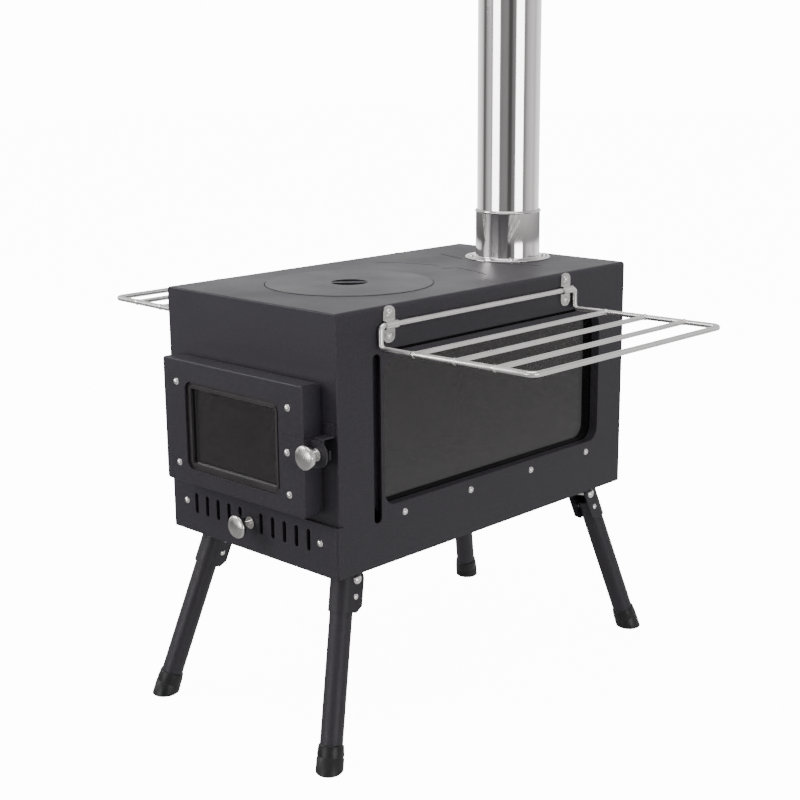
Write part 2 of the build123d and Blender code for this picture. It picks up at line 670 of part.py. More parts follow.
# Door hinge: two pairs of leaves with a pin through each pair
HINGE_X = -DOOR_HALF_W - HINGE_GAP
HINGE_Y = FRONT_Y - HINGE_OUT
fixed_leaves = []
door_leaves = []
hinge_pins = []
for low_z in (DOOR_LOW_Z + HINGE_INSET, DOOR_TOP_Z - HINGE_INSET - 2 * HINGE_KNUCKLE_H - LOOSE):
    mid_z = low_z + HINGE_KNUCKLE_H
    high_z = mid_z + LOOSE + HINGE_KNUCKLE_H
    bore = rod(HINGE_PIN_R + RUNNING, (HINGE_X, HINGE_Y, low_z - 1), (HINGE_X, HINGE_Y, high_z + 1))
    web_x0 = HINGE_X - HINGE_BARREL_R
    web_x1 = web_x0 + SHEET
    leaf = block(HINGE_X - HINGE_LEAF_W, web_x1, FRONT_Y - SHEET, FRONT_Y, low_z, mid_z)
    leaf += block(web_x0, web_x1, HINGE_Y, FRONT_Y, low_z, mid_z)
    leaf += rod(HINGE_BARREL_R, (HINGE_X, HINGE_Y, low_z), (HINGE_X, HINGE_Y, mid_z))
    fixed_leaves.append(leaf - bore)
    leaf = block(-DOOR_HALF_W - SHEET, -DOOR_HALF_W, DOOR_FACE_Y + BEND_R, HINGE_Y, mid_z + LOOSE, high_z)
    web_y0 = HINGE_Y - HINGE_BARREL_R
    leaf += block(HINGE_X, -DOOR_HALF_W, web_y0, web_y0 + SHEET, mid_z + LOOSE, high_z)
    leaf += rod(HINGE_BARREL_R, (HINGE_X, HINGE_Y, mid_z + LOOSE), (HINGE_X, HINGE_Y, high_z))
    door_leaves.append(leaf - bore)
    pin = rod(HINGE_PIN_R, (HINGE_X, HINGE_Y, low_z - 1), (HINGE_X, HINGE_Y, high_z + LOOSE))
    pin += rod(HINGE_PIN_R + 1, (HINGE_X, HINGE_Y, high_z + LOOSE), (HINGE_X, HINGE_Y, high_z + LOOSE + 1.5))
    hinge_pins.append(pin)
parts["door_hinge_leaves_fixed"] = fixed_leaves
parts["door_hinge_leaves_door"] = door_leaves
parts["door_hinge_pins"] = hinge_pins

# Latch: bent strap on the door, knob with a cam behind the strap, keeper on the front panel
LATCH_X = DOOR_HALF_W + LATCH_REACH
TAB_Y0 = DOOR_FACE_Y + STRAP_TAB_BACK
TAB_Y1 = TAB_Y0 + STRAP_TAB_T
STRAP_Z0 = LATCH_Z - STRAP_HALF_H
STRAP_Z1 = LATCH_Z + STRAP_HALF_H
strap_x1 = DOOR_HALF_W + STRAP_T
strap = slab_y(
    strap_x1 - STRAP_FRONT, strap_x1, STRAP_Z0, STRAP_Z1, DOOR_FACE_Y - STRAP_T, DOOR_FACE_Y, 4.0
)
strap += block(
    DOOR_HALF_W - BEND_R, strap_x1, DOOR_FACE_Y - STRAP_T, DOOR_FACE_Y, STRAP_Z0, STRAP_Z1
)
strap += block(DOOR_HALF_W, strap_x1, DOOR_FACE_Y - STRAP_T, DOOR_BACK_Y - 1, STRAP_Z0, STRAP_Z1)
strap = fillet(
    strap.edges().filter_by(Axis.Z).sort_by(lambda edge: edge.center().Y - edge.center().X)[0], EDGE_R
)
tab = rod(STRAP_TAB_R, (LATCH_X, TAB_Y0, LATCH_Z), (LATCH_X, TAB_Y1, LATCH_Z))
tab += block(DOOR_HALF_W, LATCH_X, TAB_Y0, TAB_Y1, STRAP_Z0, STRAP_Z1)
strap += tab & block(DOOR_HALF_W, LATCH_X + STRAP_TAB_R, TAB_Y0, TAB_Y1, STRAP_Z0, STRAP_Z1)
strap -= rod(LATCH_STEM_R + RUNNING, (LATCH_X, TAB_Y0 - 1, LATCH_Z), (LATCH_X, TAB_Y1 + 1, LATCH_Z))
strap -= rivet_hole(door_rivet_seats[-1], (0, -1, 0), rivet_grip + STRAP_T)
parts["latch_strap"] = strap

CAM_Y0 = TAB_Y1 + CAM_BEHIND_TAB
CAM_Y1 = CAM_Y0 + CAM_T
washer_back = TAB_Y0 - LOOSE
stem_back = CAM_Y1 + 1 - washer_back
knob_place = Plane(origin=(LATCH_X, washer_back, LATCH_Z), z_dir=(0, -1, 0)).location
parts["latch_knob"] = knob_place * mushroom_knob(LATCH_KNOB_OUT, LATCH_STEM_R, stem_back)
cam = rod(CAM_HUB_R, (LATCH_X, CAM_Y0, LATCH_Z), (LATCH_X, CAM_Y1, LATCH_Z))
cam += block(
    LATCH_X, LATCH_X + CAM_REACH - 1, CAM_Y0, CAM_Y1, LATCH_Z - CAM_HALF_W, LATCH_Z + CAM_HALF_W
)
cam -= rod(LATCH_STEM_R, (LATCH_X, CAM_Y0 - 1, LATCH_Z), (LATCH_X, CAM_Y1 + 1, LATCH_Z))
parts["latch_cam"] = cam

SHELF_Z = LATCH_Z + CAM_REACH + 1
SHELF_Y = FRONT_Y - KEEPER_SHELF
keeper_x0, keeper_x1 = LATCH_X - KEEPER_HALF_W, LATCH_X + KEEPER_HALF_W
keeper = block(keeper_x0, keeper_x1, SHELF_Y, FRONT_Y, SHELF_Z, SHELF_Z + KEEPER_T)
keeper += block(keeper_x0, keeper_x1, SHELF_Y, SHELF_Y + KEEPER_T, SHELF_Z - KEEPER_LIP, SHELF_Z)
keeper += block(keeper_x0, keeper_x1, FRONT_Y - KEEPER_T, FRONT_Y, SHELF_Z, SHELF_Z + KEEPER_TAB)
parts["latch_keeper"] = keeper

# Vent panel wrapped round the front corners, slider behind it, knob on the slider
wrap_x = HALF_W + SHEET
wrap_y = FRONT_Y + VENT_WRAP
vent = block(-wrap_x, wrap_x, VENT_FACE_Y, wrap_y, VENT_Z0, VENT_Z1)
vent = fillet(vent.edges().filter_by(Axis.Z).group_by(Axis.Y)[0], VENT_END_R)
inner = block(-HALF_W, HALF_W, VENT_FACE_Y + SHEET, wrap_y + 5, VENT_Z0 - 1, VENT_Z1 + 1)
inner = fillet(inner.edges().filter_by(Axis.Z).group_by(Axis.Y)[0], VENT_END_R - SHEET)
vent -= inner
lip_x = HALF_W - VENT_END_R
for low_z, high_z in ((VENT_Z0, VENT_Z0 + SHEET), (VENT_Z1 - SHEET, VENT_Z1)):
    vent += block(-lip_x, lip_x, VENT_FACE_Y + SHEET, FRONT_Y, low_z, high_z)
SLIDER_Y1 = FRONT_Y - SLIDER_GAP
SLIDER_Y0 = SLIDER_Y1 - SLIDER_T
slider = block(
    -LAST_SLOT_X - SLIDER_MARGIN,
    LAST_SLOT_X + SLIDE_TRAVEL + SLIDER_MARGIN / 2,
    SLIDER_Y0,
    SLIDER_Y1,
    VENT_Z0 + SLIDER_BELOW,
    VENT_Z1 - SHEET - LOOSE,
)
for side in (-1, 1):
    for x in SLOT_X:
        slot = bar_slot(side * x, VENT_MID_Z, VENT_SLOT_W, VENT_SLOT_H, VENT_FACE_Y - 1, FRONT_Y)
        vent -= slot
        slider -= slot
VENT_KNOB_HEIGHT = BASE_Z + VENT_KNOB_Z
stem_slot = VENT_STEM_R + LOOSE
vent -= slab_y(
    -SLIDE_TRAVEL - stem_slot,
    stem_slot,
    VENT_KNOB_HEIGHT - stem_slot,
    VENT_KNOB_HEIGHT + stem_slot,
    VENT_FACE_Y - 1,
    VENT_FACE_Y + SHEET + 0.2,
    stem_slot - 0.01,
)
slider -= rod(VENT_STEM_R, (0, SLIDER_Y0 - 1, VENT_KNOB_HEIGHT), (0, SLIDER_Y1 + 1, VENT_KNOB_HEIGHT))
for seat in vent_rivet_seats:
    vent -= rivet_hole(seat, (0, -1, 0), VENT_PROUD + SHEET)
parts["vent_panel"] = vent
parts["vent_slider"] = slider
parts["vent_rivets"] = [rivet(seat, (0, -1, 0), VENT_PROUD + SHEET) for seat in vent_rivet_seats]
washer_back = VENT_FACE_Y - LOOSE
knob_place = Plane(origin=(0, washer_back, VENT_KNOB_HEIGHT), z_dir=(0, -1, 0)).location
parts["vent_knob"] = knob_place * mushroom_knob(VENT_KNOB_OUT, VENT_STEM_R, SLIDER_Y1 - washer_back)

# Side glass: sleeve with a flange on the wall, tape, glass, and a rail above and below
SLEEVE_X = INNER_W - WINDOW_DEPTH


def window_ring(grow_out, grow_in, x0, x1):
    """A ring round the side window. Each edge lies that far outside the window's own edge."""
    rings = []
    for grow, past in ((grow_out, 0), (grow_in, 1)):
        y0, y1 = WIN_Y0 - grow, WIN_Y1 + grow
        z0, z1 = WIN_Z0 - grow, WIN_Z1 + grow
        rings.append(slab_x(y0, y1, z0, z1, x0 - past, x1 + past, WINDOW_R + grow))
    return rings[0] - rings[1]


sleeve = window_ring(SHEET, 0, SLEEVE_X, INNER_W)
sleeve += window_ring(WINDOW_FLANGE, 0, SLEEVE_X, SLEEVE_X + SHEET)
foot_y0 = window_rivet_seats[0][1] - WINDOW_RIVET_LOW
foot_y1 = window_rivet_seats[-1][1] + WINDOW_RIVET_LOW
sleeve += block(
    INNER_W - SHEET, INNER_W, foot_y0, foot_y1, WINDOW_RIVET_Z - RIVET_HEAD_D, WIN_Z0 - SHEET / 2
) - slab_x(WIN_Y0, WIN_Y1, WIN_Z0, WIN_Z1, INNER_W - 2 * SHEET, INNER_W + 1, WINDOW_R)
for seat in window_rivet_seats:
    sleeve -= rivet_hole(seat, (1, 0, 0), 2 * SHEET)
parts["side_glass_frame"] = sleeve
parts["side_window_rivets"] = [rivet(seat, (1, 0, 0), 2 * SHEET) for seat in window_rivet_seats]
glass_grow = WINDOW_FLANGE - 2 * SHEET
TAPE_X = SLEEVE_X - WINDOW_TAPE_T
GLASS_X = TAPE_X - GLASS_T
parts["side_glass_tape"] = window_ring(glass_grow, 1.0, TAPE_X, SLEEVE_X)
parts["side_glass"] = slab_x(
    WIN_Y0 - glass_grow, WIN_Y1 + glass_grow, WIN_Z0 - glass_grow, WIN_Z1 + glass_grow, GLASS_X, TAPE_X, 3.0
)
rail_y0, rail_y1 = WIN_Y0 + WINDOW_R, WIN_Y1 - WINDOW_R
low_web = WIN_Z0 - glass_grow - LOOSE
high_web = WIN_Z1 + glass_grow + LOOSE
rails = []
for web_in, web_out, lip in (
    (low_web, low_web - SHEET, low_web + RAIL_LIP),
    (high_web, high_web + SHEET, high_web - RAIL_LIP),
):
    rail = block(GLASS_X - SHEET, SLEEVE_X, rail_y0, rail_y1, min(web_in, web_out), max(web_in, web_out))
    rail += block(GLASS_X - SHEET, GLASS_X, rail_y0, rail_y1, min(web_in, lip), max(web_in, lip))
    rails.append(rail)
parts["side_glass_rails"] = rails


# Wire racks with their saddle clips
def rack(side):
    """One bent wire from clip to clip with three bars welded across."""
    hinge_x = HALF_W + LOOSE + WIRE_R
    end_off = CLIP_W / 2 + RACK_BEND_R + LOOSE
    y0, y1 = CLIP_FRONT_Y - end_off, CLIP_REAR_Y + end_off
    low_z = RACK_HINGE_Z - RACK_DROP
    outer_x = HALF_W + RACK_REACH
    points = [
        (hinge_x, CLIP_FRONT_Y, RACK_HINGE_Z),
        (hinge_x, y0, RACK_HINGE_Z),
        (hinge_x, y0, low_z),
        (outer_x, y0 + RACK_FLARE_FRONT, low_z),
        (outer_x, y1 + RACK_FLARE_REAR, low_z),
        (hinge_x, y1, low_z),
        (hinge_x, y1, RACK_HINGE_Z),
        (hinge_x, CLIP_REAR_Y, RACK_HINGE_Z),
    ]
    radii = [RACK_BEND_R, RACK_BEND_R, RACK_CORNER_R, RACK_CORNER_R, RACK_BEND_R, RACK_BEND_R]
    path = FilletPolyline(*points, radius=radii)
    wire = sweep(Plane(origin=points[0], z_dir=(0, -1, 0)) * Circle(WIRE_R), path=path)
    wire += rod(WIRE_R, (hinge_x, CLIP_FRONT_Y, RACK_HINGE_Z), (hinge_x, CLIP_REAR_Y, RACK_HINGE_Z))
    for reach in RACK_BARS:
        share = (HALF_W + reach - hinge_x) / (outer_x - hinge_x)
        bar_y0 = y0 + RACK_FLARE_FRONT * share
        bar_y1 = y1 + RACK_FLARE_REAR * share
        wire += rod(WIRE_R * 0.9, (HALF_W + reach, bar_y0, low_z), (HALF_W + reach, bar_y1, low_z))
    return wire if side > 0 else mirror(wire, about=Plane.YZ)


def clip(y, side):
    """A strap folded over the hinge wire and riveted above and below it."""
    hinge_x = LOOSE + WIRE_R
    inner_r = WIRE_R + RUNNING
    outer_r = inner_r + CLIP_T
    y0, y1 = y - CLIP_W / 2, y + CLIP_W / 2
    strap = slab_x(y0, y1, -CLIP_HALF_H, CLIP_HALF_H, 0, CLIP_T, CLIP_W / 2 - 1)
    strap += block(0, hinge_x, y0, y1, -outer_r, outer_r)
    strap += rod(outer_r, (hinge_x, y0, 0), (hinge_x, y1, 0))
    strap -= rod(inner_r, (hinge_x, y0 - 1, 0), (hinge_x, y1 + 1, 0))
    strap -= block(-1, hinge_x, y0 - 1, y1 + 1, -inner_r, inner_r)
    for up in (-1, 1):
        strap -= rivet_hole((CLIP_T, y, up * CLIP_RIVET_OFF), (1, 0, 0), CLIP_T)
    strap = Pos(HALF_W, 0, RACK_HINGE_Z) * strap
    return strap if side > 0 else mirror(strap, about=Plane.YZ)


for side_name, side in (("right", 1), ("left", -1)):
    parts["rack_" + side_name] = rack(side)
    parts["rack_clips_" + side_name] = [clip(y, side) for y in (CLIP_FRONT_Y, CLIP_REAR_Y)]
    parts["rack_rivets_" + side_name] = [
        rivet(seat, (side, 0, 0), SHEET + CLIP_T) for seat in clip_rivet_seats[side_name]
    ]


# Legs. Each is made upright about its pivot and then placed: X along the pivot, Y away from
# the middle of the stove and Z up the leg.
SPLAY_LENGTH = sqrt(LEG_SPLAY_X ** 2 + LEG_SPLAY_Y ** 2 + LEG_SPLAY_DROP ** 2)
SPLAY_TILT = hypot(LEG_SPLAY_X, LEG_SPLAY_DROP)


def leg_axes(side_x, side_y):
    """The leg's own directions: along its pivot, outward and up."""
    up = Vector(-LEG_SPLAY_X * side_x, -LEG_SPLAY_Y * side_y, LEG_SPLAY_DROP) / SPLAY_LENGTH
    pivot = Vector(LEG_SPLAY_DROP * side_x, 0, LEG_SPLAY_X) / SPLAY_TILT
    outward = up.cross(pivot)
    if outward.Y * side_y < 0:
        outward = outward * -1
    return pivot, outward, up


def leg_length():
    pivot, outward, up = leg_axes(1, 1)
    return (PIVOT_Z + PIVOT_INBOARD * outward.Z) / up.Z


LEG_LENGTH = leg_length()


def leg_pivot_point(side_x, side_y):
    pivot, outward, up = leg_axes(side_x, side_y)
    foot = Vector(FOOT_X * side_x, FOOT_Y * side_y, 0)
    return foot + up * LEG_LENGTH - outward * PIVOT_INBOARD


def leg_place(side_x, side_y):
    pivot, outward, up = leg_axes(side_x, side_y)
    origin = leg_pivot_point(side_x, side_y)
    return Plane(origin=origin, x_dir=outward.cross(up), z_dir=up).location


def knuckle():
    inner_r = LEG_TUBE_R
    outer_r = LEG_TUBE_R + KNUCKLE_T
    high = KNUCKLE_EAR_R + 1
    middle = Pos(0, PIVOT_INBOARD, (high - KNUCKLE_BELOW) / 2)
    height = high + KNUCKLE_BELOW
    channel = middle * (Cylinder(outer_r, height) - Cylinder(inner_r, height + 2))
    channel -= block(-outer_r - 1, outer_r + 1, -outer_r, PIVOT_INBOARD, -KNUCKLE_BELOW - 1, high + 1)
    for low_x, high_x in ((-outer_r, -inner_r), (inner_r, outer_r)):
        channel += block(low_x, high_x, -KNUCKLE_EAR_R, PIVOT_INBOARD, -KNUCKLE_BELOW, high)
    back_y = PIVOT_INBOARD + outer_r + 1
    outline = block(
        -outer_r - 1, outer_r + 1, -KNUCKLE_EAR_R, back_y, -KNUCKLE_BELOW, KNUCKLE_BACK_UP
    )
    outline -= block(-outer_r - 1, outer_r + 1, -KNUCKLE_EAR_R - 1, 0, 0, KNUCKLE_BACK_UP + 1)
    outline += rod(KNUCKLE_EAR_R, (-outer_r - 1, 0, 0), (outer_r + 1, 0, 0))
    corner = outline.edges().filter_by(Axis.X).sort_by(lambda edge: edge.center().Y + edge.center().Z)[0]
    outline = chamfer(corner, KNUCKLE_EAR_CHAMFER)
    channel = channel & outline
    channel -= rod(PIVOT_R + RUNNING, (-outer_r - 1, 0, 0), (outer_r + 1, 0, 0))
    pin_z = -CROSS_PIN_DOWN
    return channel - rod(CROSS_PIN_R, (-outer_r - 1, 0, pin_z), (outer_r + 1, 0, pin_z))


def leg_tube():
    low = -LEG_LENGTH + FOOT_INSIDE + LEG_TUBE_R / 2
    height = -LEG_TUBE_TOP - low
    middle = Pos(0, PIVOT_INBOARD, (low - LEG_TUBE_TOP) / 2)
    tube = middle * (Cylinder(LEG_TUBE_R, height) - Cylinder(LEG_TUBE_R - LEG_TUBE_WALL, height + 2))
    reach = LEG_TUBE_R + 1
    tube -= rod(CROSS_PIN_R, (-reach, 0, -CROSS_PIN_DOWN), (reach, 0, -CROSS_PIN_DOWN))
    hole_z = -LEG_LENGTH + LEG_RIVET_UP
    return tube - rod(LEG_RIVET_R, (-reach, PIVOT_INBOARD, hole_z), (reach, PIVOT_INBOARD, hole_z))


def leg_foot(side_x, side_y):
    """A rubber foot over the tube's end, cut level where it stands."""
    low = -LEG_LENGTH - FOOT_R
    profile = Polyline(
        (0, low),
        (FOOT_R, low),
        (FOOT_R, -LEG_LENGTH + FOOT_R),
        (FOOT_NECK_R, -LEG_LENGTH + FOOT_H),
        (0, -LEG_LENGTH + FOOT_H),
        close=True,
    )
    foot = revolve(Plane.XZ * make_face(profile), axis=Axis.Z)
    inside = -LEG_LENGTH + FOOT_INSIDE + LEG_TUBE_R / 2
    foot -= Pos(0, 0, inside + FOOT_H / 2) * Cylinder(LEG_TUBE_R, FOOT_H)
    foot = leg_place(side_x, side_y) * Pos(0, PIVOT_INBOARD, 0) * foot
    ground = 4 * FOOT_R
    under = block(-ground, ground, -ground, ground, -ground, 0)
    return foot - Pos(FOOT_X * side_x, FOOT_Y * side_y, 0) * under


def cross_pin():
    reach = LEG_TUBE_R + KNUCKLE_T
    pin = rod(CROSS_PIN_R, (-reach, 0, -CROSS_PIN_DOWN), (reach, 0, -CROSS_PIN_DOWN))
    for side in (-1, 1):
        seat = (side * reach, 0, -CROSS_PIN_DOWN)
        pin += domed_pin(seat, (side, 0, 0), 3.4 * CROSS_PIN_R, 1.4, CROSS_PIN_R, 1.0)
    return pin


def pivot_bolt():
    reach = LEG_TUBE_R + KNUCKLE_T + LOOSE
    bolt = rod(PIVOT_R, (-reach, 0, 0), (reach, 0, 0))
    for side in (-1, 1):
        bolt += domed_pin((side * reach, 0, 0), (side, 0, 0), 2 * PIVOT_HEAD_R, PIVOT_HEAD_H, PIVOT_R, 1.0)
    return bolt


def hinge_bracket(side_x, side_y):
    """Two ears under the base pan, square to the tilted pivot, on a plate against the pan."""
    pivot, outward, up = leg_axes(side_x, side_y)
    origin = leg_pivot_point(side_x, side_y)
    frame = Plane(origin=origin, x_dir=pivot, z_dir=Vector(0, side_y, 0).cross(pivot))
    if frame.z_dir.Z < 0:
        frame = Plane(origin=origin, x_dir=pivot, z_dir=pivot.cross(Vector(0, side_y, 0)))
    ear_out = LEG_TUBE_R - LOOSE
    drop = 2 * (BASE_Z - PIVOT_Z)
    bracket = Part()
    for low_x, high_x in ((-ear_out, -ear_out + BRACKET_T), (ear_out - BRACKET_T, ear_out)):
        ear = block(low_x, high_x, -BRACKET_EAR_R, BRACKET_EAR_R, 0, drop)
        bracket += ear + rod(BRACKET_EAR_R, (low_x, 0, 0), (high_x, 0, 0))
    bracket -= rod(PIVOT_R, (-ear_out - 1, 0, 0), (ear_out + 1, 0, 0))
    bracket = frame.location * bracket
    reach = BODY_W
    bracket -= block(-reach, reach, -reach, reach, BASE_Z, BASE_Z + reach)
    plate_x, plate_y = origin.X, origin.Y
    half = BRACKET_PLATE / 2
    plate = block(plate_x - half, plate_x + half, plate_y - half, plate_y + half, BASE_Z - SHEET, BASE_Z)
    return bracket + plate


brackets = []
bolts = []
for leg_name, side_x, side_y in (
    ("front_left", -1, -1),
    ("front_right", 1, -1),
    ("rear_left", -1, 1),
    ("rear_right", 1, 1),
):
    place = leg_place(side_x, side_y)
    parts["leg_knuckle_" + leg_name] = place * knuckle()
    parts["leg_tube_" + leg_name] = place * leg_tube()
    parts["leg_foot_" + leg_name] = leg_foot(side_x, side_y)
    parts["leg_cross_pin_" + leg_name] = place * cross_pin()
    brackets.append(hinge_bracket(side_x, side_y))
    bolts.append(place * pivot_bolt())
parts["leg_hinge_brackets"] = brackets
parts["leg_pivot_bolts"] = bolts

os.makedirs("parts", exist_ok=True)
for node, shape in parts.items():
    solid = Compound(children=shape) if isinstance(shape, list) else shape
    export_step(solid, "parts/" + node + ".step")
print(len(parts), "nodes, leg length", round(LEG_LENGTH, 2))
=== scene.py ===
import math

import bmesh
import bpy
import numpy as np
from mathutils import Matrix, Vector


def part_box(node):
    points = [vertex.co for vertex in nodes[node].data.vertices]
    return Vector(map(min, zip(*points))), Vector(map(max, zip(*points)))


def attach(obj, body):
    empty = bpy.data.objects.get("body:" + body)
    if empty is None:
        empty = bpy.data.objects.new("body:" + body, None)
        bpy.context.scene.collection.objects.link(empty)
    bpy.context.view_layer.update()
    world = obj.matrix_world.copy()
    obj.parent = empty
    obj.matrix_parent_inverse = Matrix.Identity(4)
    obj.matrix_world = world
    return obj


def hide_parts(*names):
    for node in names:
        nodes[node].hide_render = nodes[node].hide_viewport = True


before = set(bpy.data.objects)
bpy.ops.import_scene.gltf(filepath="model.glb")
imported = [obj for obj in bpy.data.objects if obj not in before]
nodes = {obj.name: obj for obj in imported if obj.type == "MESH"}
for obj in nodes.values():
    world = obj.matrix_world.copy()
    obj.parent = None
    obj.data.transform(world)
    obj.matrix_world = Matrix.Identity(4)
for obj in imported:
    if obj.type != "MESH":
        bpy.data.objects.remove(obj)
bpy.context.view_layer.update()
mm = 0.001


# Sheet-steel box: the outer wrap, the front and back panels, the base pan and the door's collar.
# 1.5 mm mild steel, bent and spot welded, then sprayed black with a heat-proof powder coat: a
# satin film with a grain that you can just see, and patches that are a little duller.
def linear(code):
    """An sRGB hex colour as linear light: each channel over the standard toe and 2.4 power."""
    channels = [int(code[i:i + 2], 16) / 255 for i in (0, 2, 4)]
    light = [c / 12.92 if c <= 0.04045 else ((c + 0.055) / 1.055) ** 2.4 for c in channels]
    return light + [1.0]


def add(tree, kind, inputs=None, **settings):
    """Adds one shader node with its settings, then its values and links by socket name."""
    made = tree.nodes.new(kind)
    for key, value in settings.items():
        setattr(made, key, value)
    for key, value in (inputs or {}).items():
        if isinstance(value, bpy.types.NodeSocket):
            tree.links.new(value, made.inputs[key])
        else:
            made.inputs[key].default_value = value
    return made


def surface(name, inputs):
    """A material whose surface shader has these values. Gives the material, tree and shader."""
    material = bpy.data.materials.new(name)
    material.use_nodes = True
    tree = material.node_tree
    shader = tree.nodes["Principled BSDF"]
    for key, value in inputs.items():
        shader.inputs[key].default_value = value
    return material, tree, shader


def grain(tree, shader, across, depth, rough_low, rough_high, patch=90 * mm, stretch=(1, 1, 1)):
    """A grain of that width and depth, and dull patches of that size, in the piece's own metres."""
    place = add(tree, "ShaderNodeTexCoord").outputs["Object"]
    drawn = add(tree, "ShaderNodeMapping", {"Vector": place, "Scale": stretch}).outputs["Vector"]
    fine = add(tree, "ShaderNodeTexNoise", {"Vector": drawn, "Scale": 1 / across, "Detail": 3.0})
    broad = add(tree, "ShaderNodeTexNoise", {"Vector": place, "Scale": 1 / patch, "Detail": 4.0})
    spread = {"From Min": 0.3, "From Max": 0.7, "To Min": rough_low, "To Max": rough_high}
    dull = add(tree, "ShaderNodeMapRange", {"Value": broad.outputs["Fac"], **spread})
    raised = add(tree, "ShaderNodeBump", {"Height": fine.outputs["Fac"], "Distance": depth})
    tree.links.new(dull.outputs["Result"], shader.inputs["Roughness"])
    tree.links.new(raised.outputs["Normal"], shader.inputs["Normal"])
    return fine.outputs["Fac"], broad.outputs["Fac"]


def tinted(tree, shader, share, low, high):
    """The colour runs from low to high as the pattern rises through its middle."""
    middle = {"From Min": 0.35, "From Max": 0.65}
    mix = add(tree, "ShaderNodeMapRange", {"Value": share, **middle}).outputs["Result"]
    both = {"Factor": mix, 6: linear(low), 7: linear(high)}
    colour = add(tree, "ShaderNodeMix", both, data_type="RGBA")
    tree.links.new(colour.outputs[2], shader.inputs["Base Color"])


def paint(material, *names):
    """Gives the named CAD pieces this one material."""
    for name in names:
        data = nodes[name].data
        data.materials.clear()
        data.materials.append(material)


# the grain is drawn at 0.9 mm, coarser than the real coat's, so that it shows, and the grains of
# the other finishes below are drawn coarser in the same way
coat, tree, shader = surface("heatproof_powder_coat", {"Specular IOR Level": 0.32})
fine, broad = grain(tree, shader, 0.9 * mm, 0.07 * mm, 0.38, 0.48)
tinted(tree, shader, fine, "28262C", "37343B")
paint(coat, "outer_wrap", "front_panel", "back_panel", "base_pan", "door_collar")

# Fire grate and seat ring: plain dark steel plate, heated and dull, with a little brown in it.
# The grate is one slotted plate folded down on both sides, and the ring is welded under the top.
plate, tree, shader = surface("heated_steel_plate", {"Metallic": 0.6})
fine, broad = grain(tree, shader, 1.2 * mm, 0.05 * mm, 0.55, 0.75, patch=40 * mm)
tinted(tree, shader, broad, "2A2826", "3A3431")
paint(plate, "fire_grate", "hotplate_seat_ring")

# Hotplate lid and the cup under its lifting bar: a round steel plate let into the top. It has
# the same coat, rubbed a little smoother by pans.
lid_coat, tree, shader = surface("hotplate_coat", {"Specular IOR Level": 0.36})
fine, broad = grain(tree, shader, 0.9 * mm, 0.05 * mm, 0.35, 0.44, patch=60 * mm)
tinted(tree, shader, fine, "28262C", "34313A")
paint(lid_coat, "hotplate_lid", "lid_lift_cup")


# Flue: a stainless collar with a flange and four domed screws, and one length of pipe that
# drops into it. Thin rolled sheet, polished along its length.
def skin(name, grids, material, close_rows, close_columns):
    """Each grid of points, rows by columns, becomes quads between neighbouring points, joined up
    where it closes. Points that meet are merged, as at a pole, and the faces point out."""
    points, faces, start = [], [], 0
    for grid in grids:
        rows, columns = grid.shape[:2]
        index = start + np.arange(rows * columns).reshape(rows, columns)
        if close_rows:
            index = np.vstack([index, index[:1]])
        if close_columns:
            index = np.hstack([index, index[:, :1]])
        quads = np.stack([index[:-1, :-1], index[:-1, 1:], index[1:, 1:], index[1:, :-1]], -1)
        faces.append(quads.reshape(-1, 4))
        points.append(grid.reshape(-1, 3))
        start += rows * columns
    mesh = bpy.data.meshes.new(name)
    mesh.from_pydata(np.vstack(points).tolist(), [], np.vstack(faces).tolist())
    shape = bmesh.new()
    shape.from_mesh(mesh)
    bmesh.ops.remove_doubles(shape, verts=shape.verts, dist=0.002 * mm)
    bmesh.ops.recalc_face_normals(shape, faces=shape.faces)
    shape.to_mesh(mesh)
    shape.free()
    mesh.materials.append(material)
    piece = bpy.data.objects.new(name, mesh)
    bpy.context.scene.collection.objects.link(piece)
    mesh.shade_smooth()
    mesh.set_sharp_from_angle(angle=math.radians(32))
    return piece


def turned(profile, centre, axis, sides=64):
    """A profile of (radius, height) pairs carried round an axis: each point is the centre, plus
    its height along the axis, plus its radius times a direction square to the axis."""
    radius, height = np.array(profile, float).T
    along = np.array(Vector(axis).normalized())
    first = np.array(Vector(axis).orthogonal().normalized())
    second = np.cross(along, first)
    turn = np.arange(sides) * 2 * math.pi / sides
    ring = np.cos(turn)[:, None] * first + np.sin(turn)[:, None] * second
    rise = height[:, None, None] * along
    return np.array(centre, float) + rise + radius[:, None, None] * ring[None]


def dress(piece, body, slot, *replaced):
    """Gives the piece its body and hides the CAD nodes that it stands for. The slot is not used."""
    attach(piece, body)
    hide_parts(*replaced)
    return piece


def arc(radius, start, end, centre=(0.0, 0.0), steps=8):
    """Points of a round stretch of profile, from one angle to another in degrees."""
    turn = np.radians(np.linspace(start, end, steps))
    return [(centre[0] + radius * math.cos(a), centre[1] + radius * math.sin(a)) for a in turn]


# bright rolled stainless: long polishing streaks, forty times as long as wide, drawn at 0.5 mm
# and so coarser than the real ones
stainless, tree, shader = surface("polished_stainless", {"Metallic": 1.0})
streak_stretch = (1, 1, 1 / 40)
fine, broad = grain(tree, shader, 0.5 * mm, 0.002 * mm, 0.03, 0.08, stretch=streak_stretch)
tinted(tree, shader, fine, "DAD6D5", "E2DFDF")

